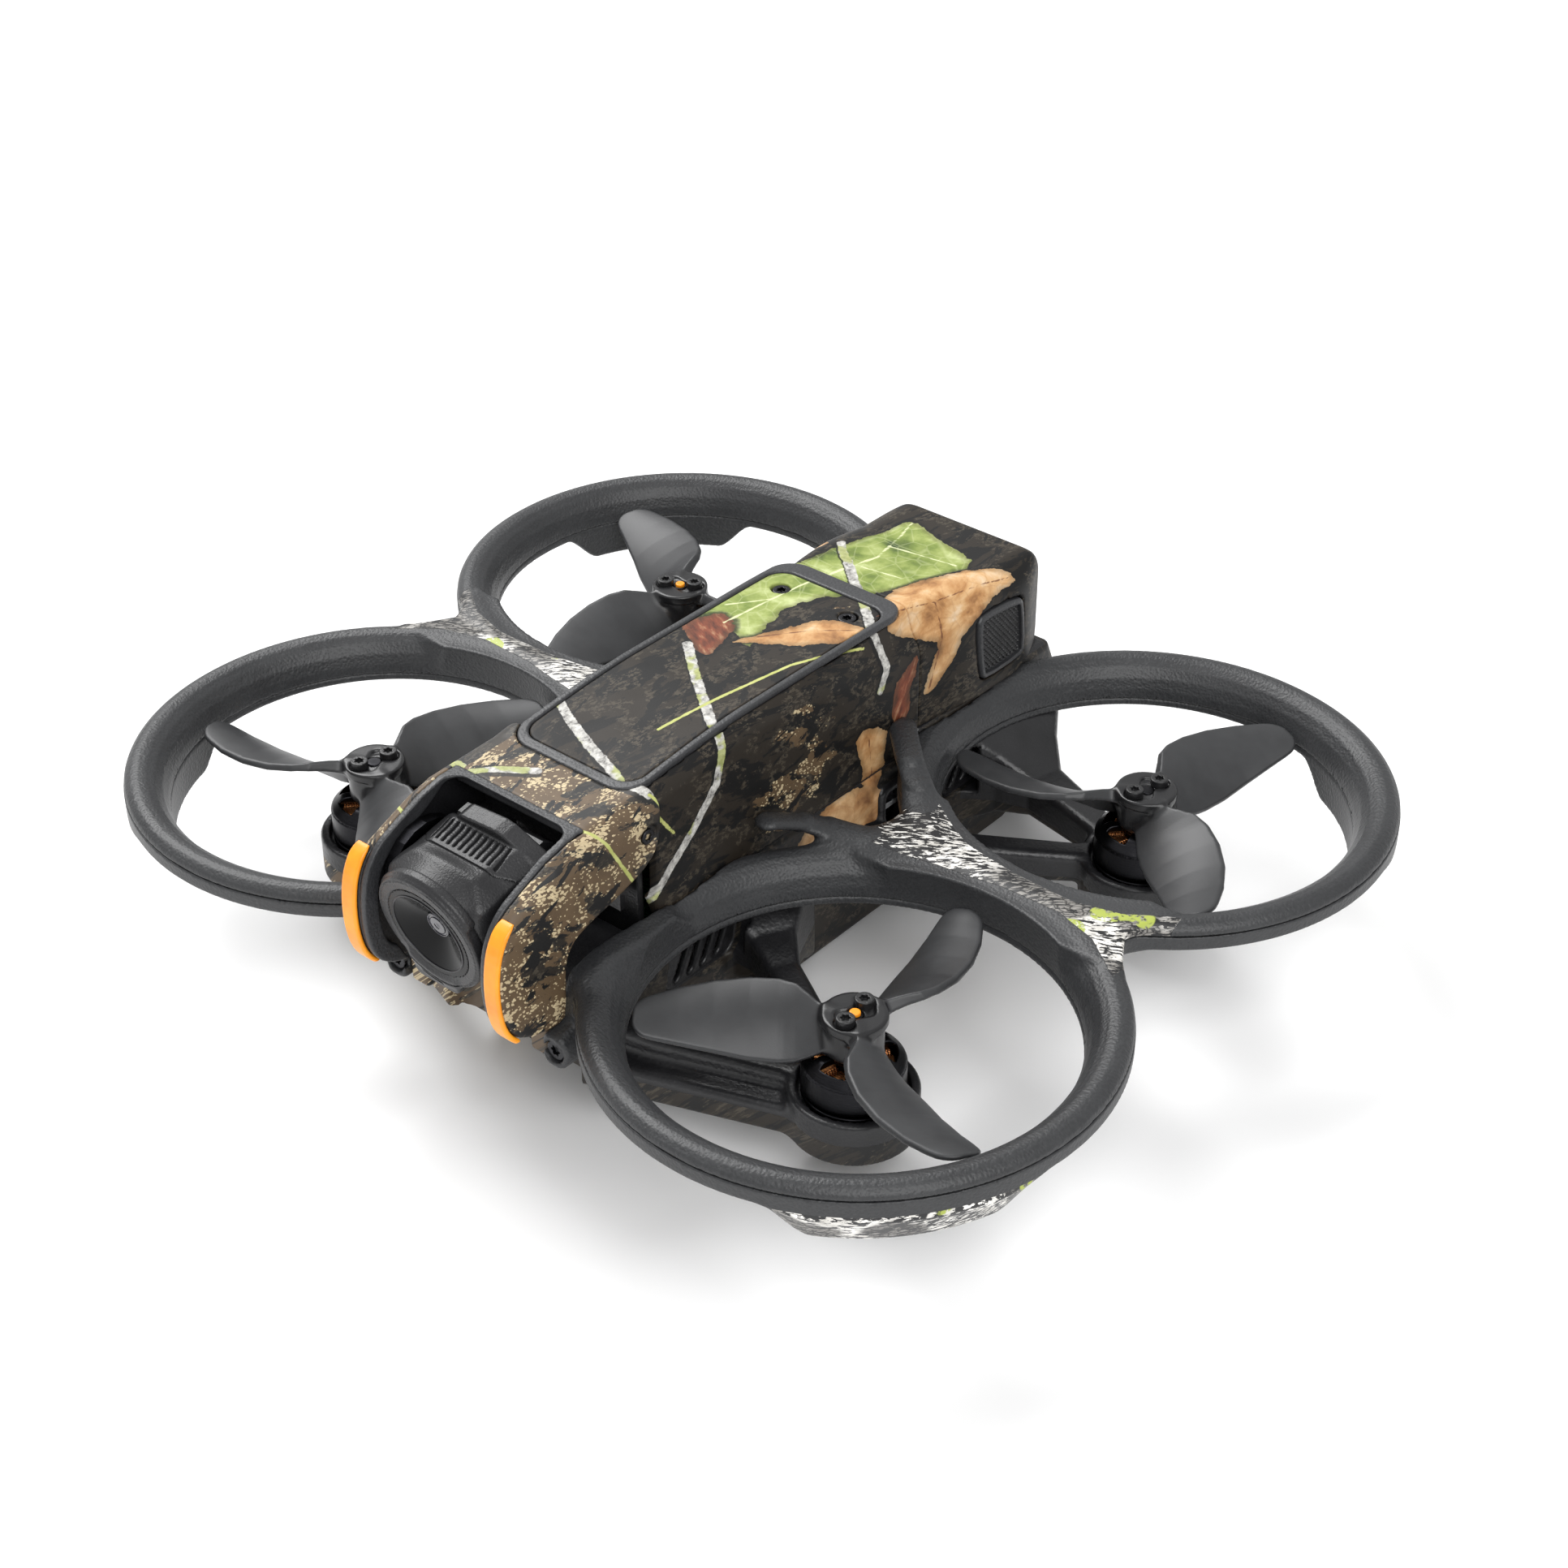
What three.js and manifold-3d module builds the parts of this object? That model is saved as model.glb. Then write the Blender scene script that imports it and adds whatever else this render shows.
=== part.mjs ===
// A small ducted racing drone, in millimetres. X runs to its left, the nose points to -Y and Z is up.
// The origin is on the ground, midway between the four motors.
import * as THREE from 'three';
import { mergeVertices } from 'three/addons/utils/BufferGeometryUtils.js';
import Module from 'manifold-3d';

const wasm = await Module();
wasm.setup();

// ---- Driving dimensions ----
const GAP = 0.3; // clearance between neighbouring pieces
const MOTOR_X = 59.1; // motor axes from the centre line
const MOTOR_Y = 43.7;
const GUARD_RADIUS = 46.9; // widest radius of a propeller duct
const THROAT_RADIUS = 38.7; // narrowest radius of a propeller duct
const GUARD_EDGE_Z = 34.5; // height of the duct's widest edge, where its two halves meet
const RING_SEGMENTS = 28;
const SKIRT_DIRECTION = 40; // degrees from the X axis to the middle of each outer-corner skirt
const SKIRT_EDGE = 32; // degrees from there to the skirt's end
const SKIRT_BLEND = 12; // degrees over which the skirt fades in
const WEB_TOP_Z = 36.3; // upper face of the plate that joins two ducts
const BODY_SIDE = 17; // half width of the fuselage
const TRAY_WALL = 2;
const SHELL_FLOOR_Z = 34; // bottom edge of the upper shell
const TOP_Z = 64; // highest face of the fuselage
const SHELL_FRONT_Y = -50.7;
const BATTERY_SEAM_Y = 27.4; // where the upper shell ends and the battery head begins
const BATTERY_FLOOR_Z = 37.3;
const TILT_Y = -73; // camera tilt axis
const TILT_Z = 47.6;
const REST_PITCH = 11.5; // degrees that the lens points below level at rest
const HOOD_FACE = 12.05; // lens hood's front face ahead of the tilt axis
const HOOD_RADIUS = 11.75;
const PAD_TOP_Z = 16.2; // face that each motor stands on
const BELL_RADIUS = 9.15;
const BELL_TOP_Z = 26;
const HUB_TOP_Z = 33.8;
const BLADE_TIP_RADIUS = 37.9;
const BLADE_COUNT = 3;
const BOARD_HALF = 13.5; // half width of the main board
const FAN_Y = 51;
const FAN_RADIUS = 12.5;
const LENS_PORT_Y = 35; // distance of each belly lens from the middle
const NOSE_HALF = 18.6; // half width over the nose cage
const EAR_INNER = 15.3; // inner face of each cage ear

// ---- Shape helpers ----
function signedVolume(position, index) {
  const [a, b, c] = [new THREE.Vector3(), new THREE.Vector3(), new THREE.Vector3()];
  let total = 0;
  for (let i = 0; i < index.length; i += 3) {
    a.fromBufferAttribute(position, index[i]);
    b.fromBufferAttribute(position, index[i + 1]);
    c.fromBufferAttribute(position, index[i + 2]);
    total += a.dot(b.cross(c));
  }
  return total / 6;
}

// Turns a closed geometry into a solid that can be cut and joined, with its faces pointing out.
function toSolid(geometry) {
  const bare = geometry.clone();
  bare.deleteAttribute('normal');
  bare.deleteAttribute('uv');
  const merged = mergeVertices(bare, 1e-3);
  const corners = merged.index.array;
  const index = [];
  for (let i = 0; i < corners.length; i += 3) {
    const [p, q, r] = [corners[i], corners[i + 1], corners[i + 2]];
    if (p !== q && q !== r && r !== p) index.push(p, q, r);
  }
  if (signedVolume(merged.attributes.position, index) < 0) index.reverse();
  const vertProperties = new Float32Array(merged.attributes.position.array);
  const triVerts = new Uint32Array(index);
  return new wasm.Manifold(new wasm.Mesh({ numProp: 3, vertProperties, triVerts }));
}

function toGeometry(body) {
  const mesh = body.getMesh();
  const geometry = new THREE.BufferGeometry();
  const points = new Float32Array(mesh.vertProperties);
  geometry.setAttribute('position', new THREE.BufferAttribute(points, 3));
  geometry.setIndex(new THREE.BufferAttribute(new Uint32Array(mesh.triVerts), 1));
  return geometry;
}

function join(...bodies) {
  return bodies.reduce((whole, body) => whole.add(body));
}

function cut(body, ...tools) {
  return tools.reduce((rest, tool) => rest.subtract(tool), body);
}

function moved(body, x, y, z) {
  return toSolid(toGeometry(body).translate(x, y, z));
}

// The same piece on the other side of the centre line.
function mirrored(body) {
  return toSolid(toGeometry(body).scale(-1, 1, 1));
}

function box(x0, x1, y0, y1, z0, z1) {
  const geometry = new THREE.BoxGeometry(x1 - x0, y1 - y0, z1 - z0);
  return toSolid(geometry.translate((x0 + x1) / 2, (y0 + y1) / 2, (z0 + z1) / 2));
}

function upright(radius, z0, z1, x = 0, y = 0, segments = 16) {
  const geometry = new THREE.CylinderGeometry(radius, radius, z1 - z0, segments);
  return toSolid(geometry.rotateX(Math.PI / 2).translate(x, y, (z0 + z1) / 2));
}

// A cylinder whose axis lies across the drone, along X.
function across(radius, x0, x1, y, z, segments = 16) {
  const geometry = new THREE.CylinderGeometry(radius, radius, x1 - x0, segments);
  return toSolid(geometry.rotateZ(Math.PI / 2).translate((x0 + x1) / 2, y, z));
}

// A cylinder whose axis lies along the drone, along Y.
function lengthwise(radius, y0, y1, x, z, segments = 16) {
  const geometry = new THREE.CylinderGeometry(radius, radius, y1 - y0, segments);
  return toSolid(geometry.translate(x, (y0 + y1) / 2, z));
}

function shapeOf(points) {
  return new THREE.Shape(points.map(([u, v]) => new THREE.Vector2(u, v)));
}

function prismUp(shape, z0, z1) {
  const options = { depth: z1 - z0, bevelEnabled: false, curveSegments: 3 };
  return toSolid(new THREE.ExtrudeGeometry(shape, options).translate(0, 0, z0));
}

// Extrudes a side outline, drawn in Y and Z, across the drone from x0 to x1.
function prismAcross(points, x0, x1) {
  const options = { depth: x1 - x0, bevelEnabled: false };
  const geometry = new THREE.ExtrudeGeometry(shapeOf(points), options);
  const axes = new THREE.Matrix4().makeBasis(
    new THREE.Vector3(0, 1, 0),
    new THREE.Vector3(0, 0, 1),
    new THREE.Vector3(1, 0, 0),
  );
  return toSolid(geometry.applyMatrix4(axes).translate(x0, 0, 0));
}

function roundedRectangle(x0, x1, y0, y1, radius) {
  const shape = new THREE.Shape();
  const quarter = Math.PI / 2;
  shape.absarc(x1 - radius, y1 - radius, radius, 0, quarter, false);
  shape.absarc(x0 + radius, y1 - radius, radius, quarter, 2 * quarter, false);
  shape.absarc(x0 + radius, y0 + radius, radius, 2 * quarter, 3 * quarter, false);
  shape.absarc(x1 - radius, y0 + radius, radius, 3 * quarter, 4 * quarter, false);
  return shape;
}

// A turned piece: the profile is a closed list of [radius, height] about the Z axis.
function turned(profile, segments = 24) {
  const points = profile.map(([r, z]) => new THREE.Vector2(r, z));
  points.push(points[0].clone());
  return toSolid(new THREE.LatheGeometry(points, segments).rotateX(Math.PI / 2));
}

// Skins rows of points, each a closed outline of the same length. A looped skin joins its last row to
// its first; otherwise both end rows are capped.
function skinned(rows, looped) {
  const width = rows[0].length;
  const points = rows.flat();
  const index = [];
  const strips = looped ? rows.length : rows.length - 1;
  for (let i = 0; i < strips; i += 1) {
    const next = (i + 1) % rows.length;
    for (let j = 0; j < width; j += 1) {
      const k = (j + 1) % width;
      const [p, q] = [i * width + j, i * width + k];
      const [r, s] = [next * width + k, next * width + j];
      index.push(p, q, r, p, r, s);
    }
  }
  if (!looped) {
    for (let j = 1; j < width - 1; j += 1) {
      const last = (rows.length - 1) * width;
      index.push(0, j + 1, j, last, last + j, last + j + 1);
    }
  }
  const geometry = new THREE.BufferGeometry().setFromPoints(points);
  geometry.setIndex(index);
  return toSolid(geometry);
}

// A ring about Z whose section, a closed list of [radius, height], may change with the angle.
function ring(sectionAt, segments = RING_SEGMENTS) {
  const rows = [];
  for (let i = 0; i < segments; i += 1) {
    const angle = (i / segments) * 2 * Math.PI;
    const place = ([r, z]) => new THREE.Vector3(r * Math.cos(angle), r * Math.sin(angle), z);
    rows.push(sectionAt(angle).map(place));
  }
  return skinned(rows, true);
}

// A level beam between two plan points. Each end is [x, y, width, bottom, top].
function strut(...stations) {
  const [first, last] = [stations[0], stations[stations.length - 1]];
  const run = new THREE.Vector2(last[0] - first[0], last[1] - first[1]).normalize();
  const rows = stations.map(([x, y, width, z0, z1]) => {
    const [sx, sy] = [(-run.y * width) / 2, (run.x * width) / 2];
    return [
      new THREE.Vector3(x - sx, y - sy, z0),
      new THREE.Vector3(x + sx, y + sy, z0),
      new THREE.Vector3(x + sx, y + sy, z1),
      new THREE.Vector3(x - sx, y - sy, z1),
    ];
  });
  return skinned(rows, false);
}

// ---- Materials ----
const LOOKS = {
  charcoal: { color: 0x45464a, roughness: 0.6, metalness: 0 },
  camouflage: { color: 0x3a3129, roughness: 0.55, metalness: 0 },
  black: { color: 0x111214, roughness: 0.45, metalness: 0 },
  blade: { color: 0x4b4c4f, roughness: 0.5, metalness: 0 },
  orange: { color: 0xffa52e, roughness: 0.4, metalness: 0 },
  rubber: { color: 0x0c0c0c, roughness: 0.9, metalness: 0 },
  steel: { color: 0x77797c, roughness: 0.35, metalness: 1 },
  copper: { color: 0xb4673a, roughness: 0.4, metalness: 1 },
  glass: { color: 0x101722, roughness: 0.05, metalness: 0 },
  board: { color: 0x1f4a31, roughness: 0.5, metalness: 0 },
  aluminium: { color: 0xa7abae, roughness: 0.4, metalness: 1 },
  cell: { color: 0x2f4f8a, roughness: 0.5, metalness: 0 },
};

const drone = new THREE.Group();

function piece(name, body, look, parent = drone) {
  const mesh = new THREE.Mesh(toGeometry(body), new THREE.MeshStandardMaterial(LOOKS[look]));
  mesh.name = name;
  parent.add(mesh);
  return mesh;
}

const CORNERS = [
  { name: 'front_left', x: MOTOR_X, y: -MOTOR_Y, spin: -1, phase: 98 },
  { name: 'front_right', x: -MOTOR_X, y: -MOTOR_Y, spin: 1, phase: 75 },
  { name: 'rear_left', x: MOTOR_X, y: MOTOR_Y, spin: 1, phase: 76 },
  { name: 'rear_right', x: -MOTOR_X, y: MOTOR_Y, spin: -1, phase: 30 },
];

// ---- Lower frame: tray, V arms and motor pads ----
const TRAY_SIDE = [
  [-63, 9],
  [-56, 2.5],
  [-48, 0],
  [58, 0],
  [70, 4],
  [74.3, 14],
  [74.3, 30],
  [71, 37],
  [27.7, 37],
  [27.7, 33.7],
  [-54, 33.7],
  [-60, 27.5],
  [-65, 22],
];
const TRAY_CAVITY = [
  [-52, 5],
  [62, 5],
  [67, 12],
  [67, 40],
  [-50, 40],
  [-50, 30],
];

function frameArms() {
  const front = -MOTOR_Y;
  const rear = MOTOR_Y;
  return [
    strut([15.5, -62, 9, 10, 21], [26, -58, 6, 12.5, 19.5], [MOTOR_X, front, 5.5, 12.5, 18.5]),
    strut([15.5, -17, 22, 8, 27], [26, -25, 9, 12, 21], [MOTOR_X, front, 5.5, 12.5, 18.5]),
    strut([15.5, 14, 12, 8, 24], [26, 22, 7, 12, 20], [MOTOR_X, rear, 5.5, 12.5, 18.5]),
    strut([15.5, 55, 27, 6, 27], [25, 53, 15, 11, 25], [33, 51, 7, 12.5, 20.5],
      [MOTOR_X, rear, 5.5, 12.5, 18.5]),
  ];
}

function motorPads() {
  return [-MOTOR_Y, MOTOR_Y].map((y) =>
    join(upright(11, 9, 13, MOTOR_X, y), upright(11.5, 12.9, 18.2, MOTOR_X, y)));
}

function motorSeats() {
  return [-MOTOR_Y, MOTOR_Y].map((y) => upright(BELL_RADIUS + 0.6, PAD_TOP_Z, 40, MOTOR_X, y));
}

function vents() {
  const slots = [];
  for (const start of [-42, 38]) {
    for (let i = 0; i < 3; i += 1) {
      const y = start + i * 5;
      slots.push(prismAcross([[y, 22], [y + 2, 22], [y + 4.5, 30], [y + 2.5, 30]], 14, 18.5));
    }
  }
  return slots;
}

function lowerFrame() {
  const tray = prismAcross(TRAY_SIDE, -BODY_SIDE, BODY_SIDE);
  const half = cut(join(...frameArms(), ...motorPads()), ...motorSeats());
  const rail = box(12.6, BODY_SIDE, -75, -54, 21, 27.4);
  const cavity = prismAcross(TRAY_CAVITY, -BODY_SIDE + TRAY_WALL, BODY_SIDE - TRAY_WALL);
  const sides = join(half, rail);
  const whole = join(tray, sides, mirrored(sides));
  const windows = [
    upright(4, -1, 6, 0, -LENS_PORT_Y),
    upright(4, -1, 6, 0, LENS_PORT_Y),
    box(-5.3, 5.3, -4.3, 4.3, -1, 6),
    box(14, 18.5, 15.4, 24.6, 18, 28.3),
  ];
  const slots = vents();
  return cut(whole, cavity, ...windows, ...slots, ...slots.map(mirrored));
}

// ---- Fuselage shell, cover and rim ----
// A cross-section with straight sides and eased shoulders.
function bodySection(y, halfTop, halfSide, top, shoulder, floor) {
  const ease = (top - shoulder) * 0.3;
  const right = [
    [halfSide, floor],
    [halfSide, shoulder - 1],
    [halfSide - 0.7, shoulder + ease],
    [halfTop + 1.5, top - ease],
    [halfTop, top],
  ];
  const left = right.map(([x, z]) => [-x, z]).reverse();
  return [...right, ...left].map(([x, z]) => new THREE.Vector3(x, y, z));
}

const SHELL_STATIONS = [
  [SHELL_FRONT_Y, 13.6, 17, 61.4, 58],
  [-44, 13.8, 17, 62.6, 59.5],
  [-20, 14, 17, TOP_Z, 61],
  [12, 14, 17, TOP_Z, 60.5],
  [BATTERY_SEAM_Y, 13.4, 17, 63.4, 57.5],
];
const COVER_TOP = [
  [-51, 61.4],
  [-44, 62.6],
  [-20, TOP_Z],
  [12, TOP_Z],
  [28, 63.4],
];

// A strip of the fuselage's roof line, between two depths below it.
function roofStrip(above, below) {
  const upper = COVER_TOP.map(([y, z]) => [y, z + above]);
  const lower = COVER_TOP.map(([y, z]) => [y, z - below]).reverse();
  return prismAcross([...upper, ...lower], -16, 16);
}

function upperShell() {
  const outer = skinned(
    SHELL_STATIONS.map(([y, halfTop, side, top, sh]) =>
      bodySection(y, halfTop, side, top, sh, SHELL_FLOOR_Z)),
    false,
  );
  const room = skinned(
    SHELL_STATIONS.map(([y, halfTop, side, top, sh], i) => {
      const end = i === 0 ? y + 3 : y + (i === SHELL_STATIONS.length - 1 ? 5 : 0);
      return bodySection(end, halfTop - 2, side - 2, top - 3.2, sh - 2.5, SHELL_FLOOR_Z - 5);
    }),
    false,
  );
  const recess = prismUp(roundedRectangle(-15.1, 15.1, -50.9, 27, 5.6), 50, 70)
    .intersect(roofStrip(5, 1.4));
  const cheek = prismAcross([[-70, 30], [-44.3, 30], [-46.2, 49], [-46.2, 70], [-70, 70]], 15, 20);
  const nose = prismAcross([[-70, 30], [-44.3, 30], [-50.5, 47], [-70, 47]], -20, 20);
  return cut(outer, room, recess, cheek, mirrored(cheek), nose);
}

function coverRim() {
  const outer = prismUp(roundedRectangle(-14.8, 14.8, -50.6, 26.7, 5.3), 50, 70);
  const inner = prismUp(roundedRectangle(-12.3, 12.3, -48, 22.6, 3.3), 50, 70);
  return outer.subtract(inner).intersect(roofStrip(0.5, 1.1));
}

function topCover() {
  const plate = prismUp(roundedRectangle(-12, 12, -47.7, 22.3, 3), 50, 70).intersect(roofStrip(0.2, 1.1));
  return cut(plate, upright(1.9, 55, 70, 8, 16.5), upright(1.9, 55, 70, -8, 16.5));
}

// ---- Nose cage, trim and bumpers ----
const EAR = [
  [-66.2, 60.4],
  [-71.2, 59.1],
  [-77, 56.7],
  [-83.2, 54.1],
  [-87, 51.2],
  [-88.2, 45.7],
  [-87.4, 39.3],
  [-83.7, 31.9],
  [-79, 29.3],
  [-73.6, 28],
  [-71.1, 30],
  [-71, 35.2],
  [-70.2, 40.9],
  [-67.3, 43.9],
  [-57.2, 46.2],
  [-49.3, 49.1],
  [-46.6, 53.5],
  [-46.6, 58.4],
  [-50.8, 60],
];

function noseCage() {
  const ear = prismAcross(EAR, EAR_INNER, NOSE_HALF);
  const bar = prismAcross([[-62.4, 60.1], [-51, 61.4], [-51, 58.9], [-61, 58], [-62.4, 58.6]],
    -NOSE_HALF, NOSE_HALF);
  const hole = across(1.7, 14, 20, -49.8, 54.6);
  return cut(join(bar, ear, mirrored(ear)), hole, mirrored(hole));
}

// The front edge of an ear, pushed forward by a distance.
function earFront(distance) {
  return EAR.slice(3, 8).map(([y, z]) => {
    const away = new THREE.Vector2(y + 75, z - 44).normalize().multiplyScalar(distance);
    return [y + away.x, z + away.y];
  });
}

function noseBumper() {
  return prismAcross([...earFront(GAP), ...earFront(1.7).reverse()], 15.5, 18.9);
}

function noseTrim() {
  const tail = [[-60.5, 57.6], [-60.5, 55.5], [-66, 55.5]];
  const outline = [...tail, ...EAR.slice(0, 11).reverse(), [-66, 57.6]];
  const inset = [[-67, 56], [-77, 53.4], [-84, 50], [-85, 45.5], [-84, 39.5], [-81.5, 33.5], [-77, 31.4],
    [-73, 32], [-71.4, 36], [-69, 44]];
  const liner = prismAcross(outline, 14.2, EAR_INNER - GAP).subtract(prismAcross(inset, 13, 16));
  const lip = prismAcross([[-62.6, 58.2], [-62.6, 56.8], [-61, 56.4], [-61, 57.6]], -14.6, 14.6);
  return join(liner, mirrored(liner), lip);
}

// ---- Propeller guards ----
const SEAM_LOW_Z = GUARD_EDGE_Z - 0.1; // top of the guards' lower half at the seam
const SEAM_HIGH_Z = SEAM_LOW_Z + GAP;
const UPPER_RING = [
  [GUARD_RADIUS, SEAM_HIGH_Z],
  [46, 36.2],
  [43.6, 36.5],
  [40, 33.8],
  [THROAT_RADIUS, 29.2],
  [40.3, 29.2],
  [41.8, 32.6],
  [44.4, SEAM_HIGH_Z],
];

// The space kept clear of the lower half of a guard, for the upper half.
const PARTING = [
  [37, 28.9],
  [40.7, 28.9],
  [42.2, 32.3],
  [44.6, SEAM_LOW_Z],
  [48, SEAM_LOW_Z],
  [48, 40],
  [37, 40],
];

// How deep the outer-corner skirt is at an angle measured from the corner's direction, 0 to 1.
function skirtDepth(offset) {
  const edge = THREE.MathUtils.degToRad(SKIRT_EDGE);
  const blend = THREE.MathUtils.degToRad(SKIRT_BLEND);
  return THREE.MathUtils.clamp((edge - Math.abs(offset)) / blend, 0, 1);
}

function lowerRing(cornerAngle) {
  return ring((angle) => {
    const offset = Math.atan2(Math.sin(angle - cornerAngle), Math.cos(angle - cornerAngle));
    const deep = skirtDepth(offset);
    return [
      [GUARD_RADIUS, SEAM_LOW_Z],
      [GUARD_RADIUS, 32.2 - deep * 2],
      [45.2 - deep * 2.4, 30.8 - deep * 7.6],
      [THROAT_RADIUS, 27.6 - deep * 5.6],
      [THROAT_RADIUS, 28.9],
      [41.2, 28.9],
      [45.2, SEAM_LOW_Z],
    ];
  });
}

const WEB = [
  [33.5, -10],
  [31.5, 0],
  [34.5, 13],
  [86.5, 11.5],
  [82.5, 1],
  [88, -8],
];

function web(z0, z1) {
  const holes = [-MOTOR_Y, MOTOR_Y].map((y) => upright(42.5, 0, 60, MOTOR_X, y, RING_SEGMENTS));
  return cut(prismUp(shapeOf(WEB), z0, z1), ...holes);
}

function sideBrackets() {
  return [
    strut([17.5, -19.5, 4, 40, 42.8], [25, -10, 4, 37, 40], [37, 1, 5, 34.8, 36.5]),
    strut([17.5, 19.7, 4, 40, 42.8], [25, 13, 4, 37, 40], [37, 2, 5, 34.8, 36.5]),
  ];
}

function guardUpper() {
  const halves = [-MOTOR_Y, MOTOR_Y].map((y) => moved(ring(() => UPPER_RING), MOTOR_X, y, 0));
  const whole = join(...halves, web(SEAM_HIGH_Z, WEB_TOP_Z), ...sideBrackets());
  return whole.subtract(box(-1, BODY_SIDE + GAP, -90, 90, 0, 80));
}

function guardLower() {
  const corner = THREE.MathUtils.degToRad(SKIRT_DIRECTION);
  const frontRoom = moved(ring(() => PARTING), MOTOR_X, -MOTOR_Y, 0);
  const rearRoom = moved(ring(() => PARTING), MOTOR_X, MOTOR_Y, 0);
  const front = moved(lowerRing(-corner), MOTOR_X, -MOTOR_Y, 0).subtract(rearRoom);
  const rear = moved(lowerRing(corner), MOTOR_X, MOTOR_Y, 0).subtract(frontRoom);
  const lugSide = [[-76.5, 21.6], [-76.5, 26.4], [-70.6, 27.6], [-70, SEAM_LOW_Z],
    [-62, SEAM_LOW_Z], [-66, 21.6]];
  const lug = prismAcross(lugSide, 17.3, 24)
    .subtract(upright(THROAT_RADIUS + 2, 0, 60, MOTOR_X, -MOTOR_Y, RING_SEGMENTS));
  const bore = across(1.5, 16, 30, -72.5, 25);
  const plates = cut(join(web(30.9, SEAM_LOW_Z), lug), frontRoom, rearRoom);
  return cut(join(front, rear, plates), box(-1, BODY_SIDE + GAP, -90, 90, 0, 80), bore);
}

// ---- Screws ----
// A countersunk screw with its head's face at height 0 and its shank below.
function screw(headRadius, headDepth, length) {
  const shank = headRadius * 0.45;
  const socket = upright(headRadius * 0.45, -headDepth * 0.6, 1, 0, 0, 6);
  const profile = [
    [0, 0],
    [headRadius, 0],
    [headRadius, -headDepth],
    [shank, -headDepth],
    [shank, -length],
    [0, -length],
  ];
  return turned(profile, 10).subtract(socket);
}

function screws() {
  for (const [side, name] of [[1, 'left'], [-1, 'right']]) {
    const cover = piece(`cover_screw_${name}`, screw(1.6, 0.8, 1.1), 'black');
    cover.position.set(8 * side, 16.5, TOP_Z + 0.1);
    const cheek = piece(`cheek_screw_${name}`, screw(1.4, 1, 1.6), 'black');
    cheek.position.set(NOSE_HALF * side, -49.8, 54.6);
    cheek.rotation.y = (Math.PI / 2) * side;
    const guard = piece(`guard_screw_${name}`, screw(1.2, 1.5, 5), 'black');
    guard.position.set(23 * side, -72.5, 25);
    guard.rotation.y = (Math.PI / 2) * side;
  }
}

// ---- Pieces inside the fuselage ----
function heatSink() {
  let body = box(-12, 12, -40, 10, 18, 20.5);
  for (let i = 0; i < 7; i += 1) {
    const x = -11 + i * 3.5;
    body = join(body, box(x, x + 1, -40, 10, 8, 18.5));
  }
  return body;
}

function fanHousing() {
  const shell = cut(
    upright(FAN_RADIUS, 8, 19, 0, FAN_Y, 24),
    upright(FAN_RADIUS - 1.2, 9.5, 25, 0, FAN_Y, 24),
  );
  return cut(shell, box(-14, 0, 30, 45, 10, 20));
}

function fanRotor() {
  let body = join(upright(4, 10.2, 18, 0, 0, 16), upright(6, 10.2, 11, 0, 0, 16));
  for (let i = 0; i < 8; i += 1) {
    const blade = new THREE.BoxGeometry(7.2, 0.8, 7.8).translate(6.9, 0, 14.1);
    body = join(body, toSolid(blade.rotateZ((i / 8) * 2 * Math.PI)));
  }
  return body;
}

function electronics() {
  piece('main_board', box(-BOARD_HALF, BOARD_HALF, -42, 36, 21, 22.6), 'board');
  piece('heat_sink', heatSink(), 'aluminium');
  piece('fan_housing', fanHousing(), 'black');
  const rotor = piece('fan_rotor', fanRotor(), 'black');
  rotor.position.set(0, FAN_Y, 0);
  piece('gps_module', box(-9, 9, 4, 24, 23, 29), 'aluminium');
  piece('battery_socket', box(-10, 10, -40, -34, 38, 52), 'black');
  const port = cut(box(9, 16.4, 15.8, 24.2, 23, 27.6), box(10, 18, 17, 23, 24.2, 26.4));
  piece('charge_port', port, 'steel');
  for (const [name, y] of [['front', -LENS_PORT_Y], ['rear', LENS_PORT_Y]]) {
    const lens = join(upright(3.6, 0.6, 7, 0, y), upright(2, 6.9, 7.6, 0, y));
    piece(`vision_lens_${name}`, lens, 'glass');
  }
  piece('infrared_sensor', box(-5, 5, -4, 4, 0.6, 7), 'black');
}

// ---- Camera and its tilting mount ----
function gimbalYoke() {
  const back = box(-13.6, 13.6, -57.2, -55.4, 41, 56);
  const leftArm = join(
    box(12.2, 13.6, TILT_Y, -56, 43.8, 51.8),
    across(4.6, 12.2, 13.6, TILT_Y, TILT_Z),
  );
  const rightArm = box(-13.6, -12.2, -63.6, -56, 43.8, 51.8);
  const bore = across(2.2, 12, 15, TILT_Y, TILT_Z);
  return cut(join(back, leftArm, rightArm), bore, box(-8, 8, -58, -55, 45.5, 51));
}

function dampers() {
  const places = [[-9, 53], [9, 53], [0, 43.5]];
  places.forEach(([x, z], i) => {
    const profile = [[0, 0], [1.3, 0], [2, 0.7], [2, 1.6], [1.3, 2.3], [0, 2.3]];
    const ball = piece(`gimbal_damper_${i + 1}`, turned(profile, 10), 'rubber');
    ball.position.set(x, -52.8, z);
    ball.rotation.x = Math.PI / 2;
  });
}

function cameraBody() {
  const barrel = across(9, -11.2, 11.2, 0, 0, 20);
  const neck = lengthwise(9.4, -HOOD_FACE + 3.3, -4, 0, 0, 20);
  const pin = across(1.9, 11, 13.2, 0, 0, 14);
  return join(barrel, neck, pin);
}

function cameraBack() {
  const hump = prismAcross([[5, 6], [7, 8.6], [9.4, 8.6], [12, 5.6], [12.6, -3], [10, -7], [5, -8]], -9, 9);
  return hump.subtract(across(9.4, -12, 12, 0, 0, 20));
}

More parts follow.
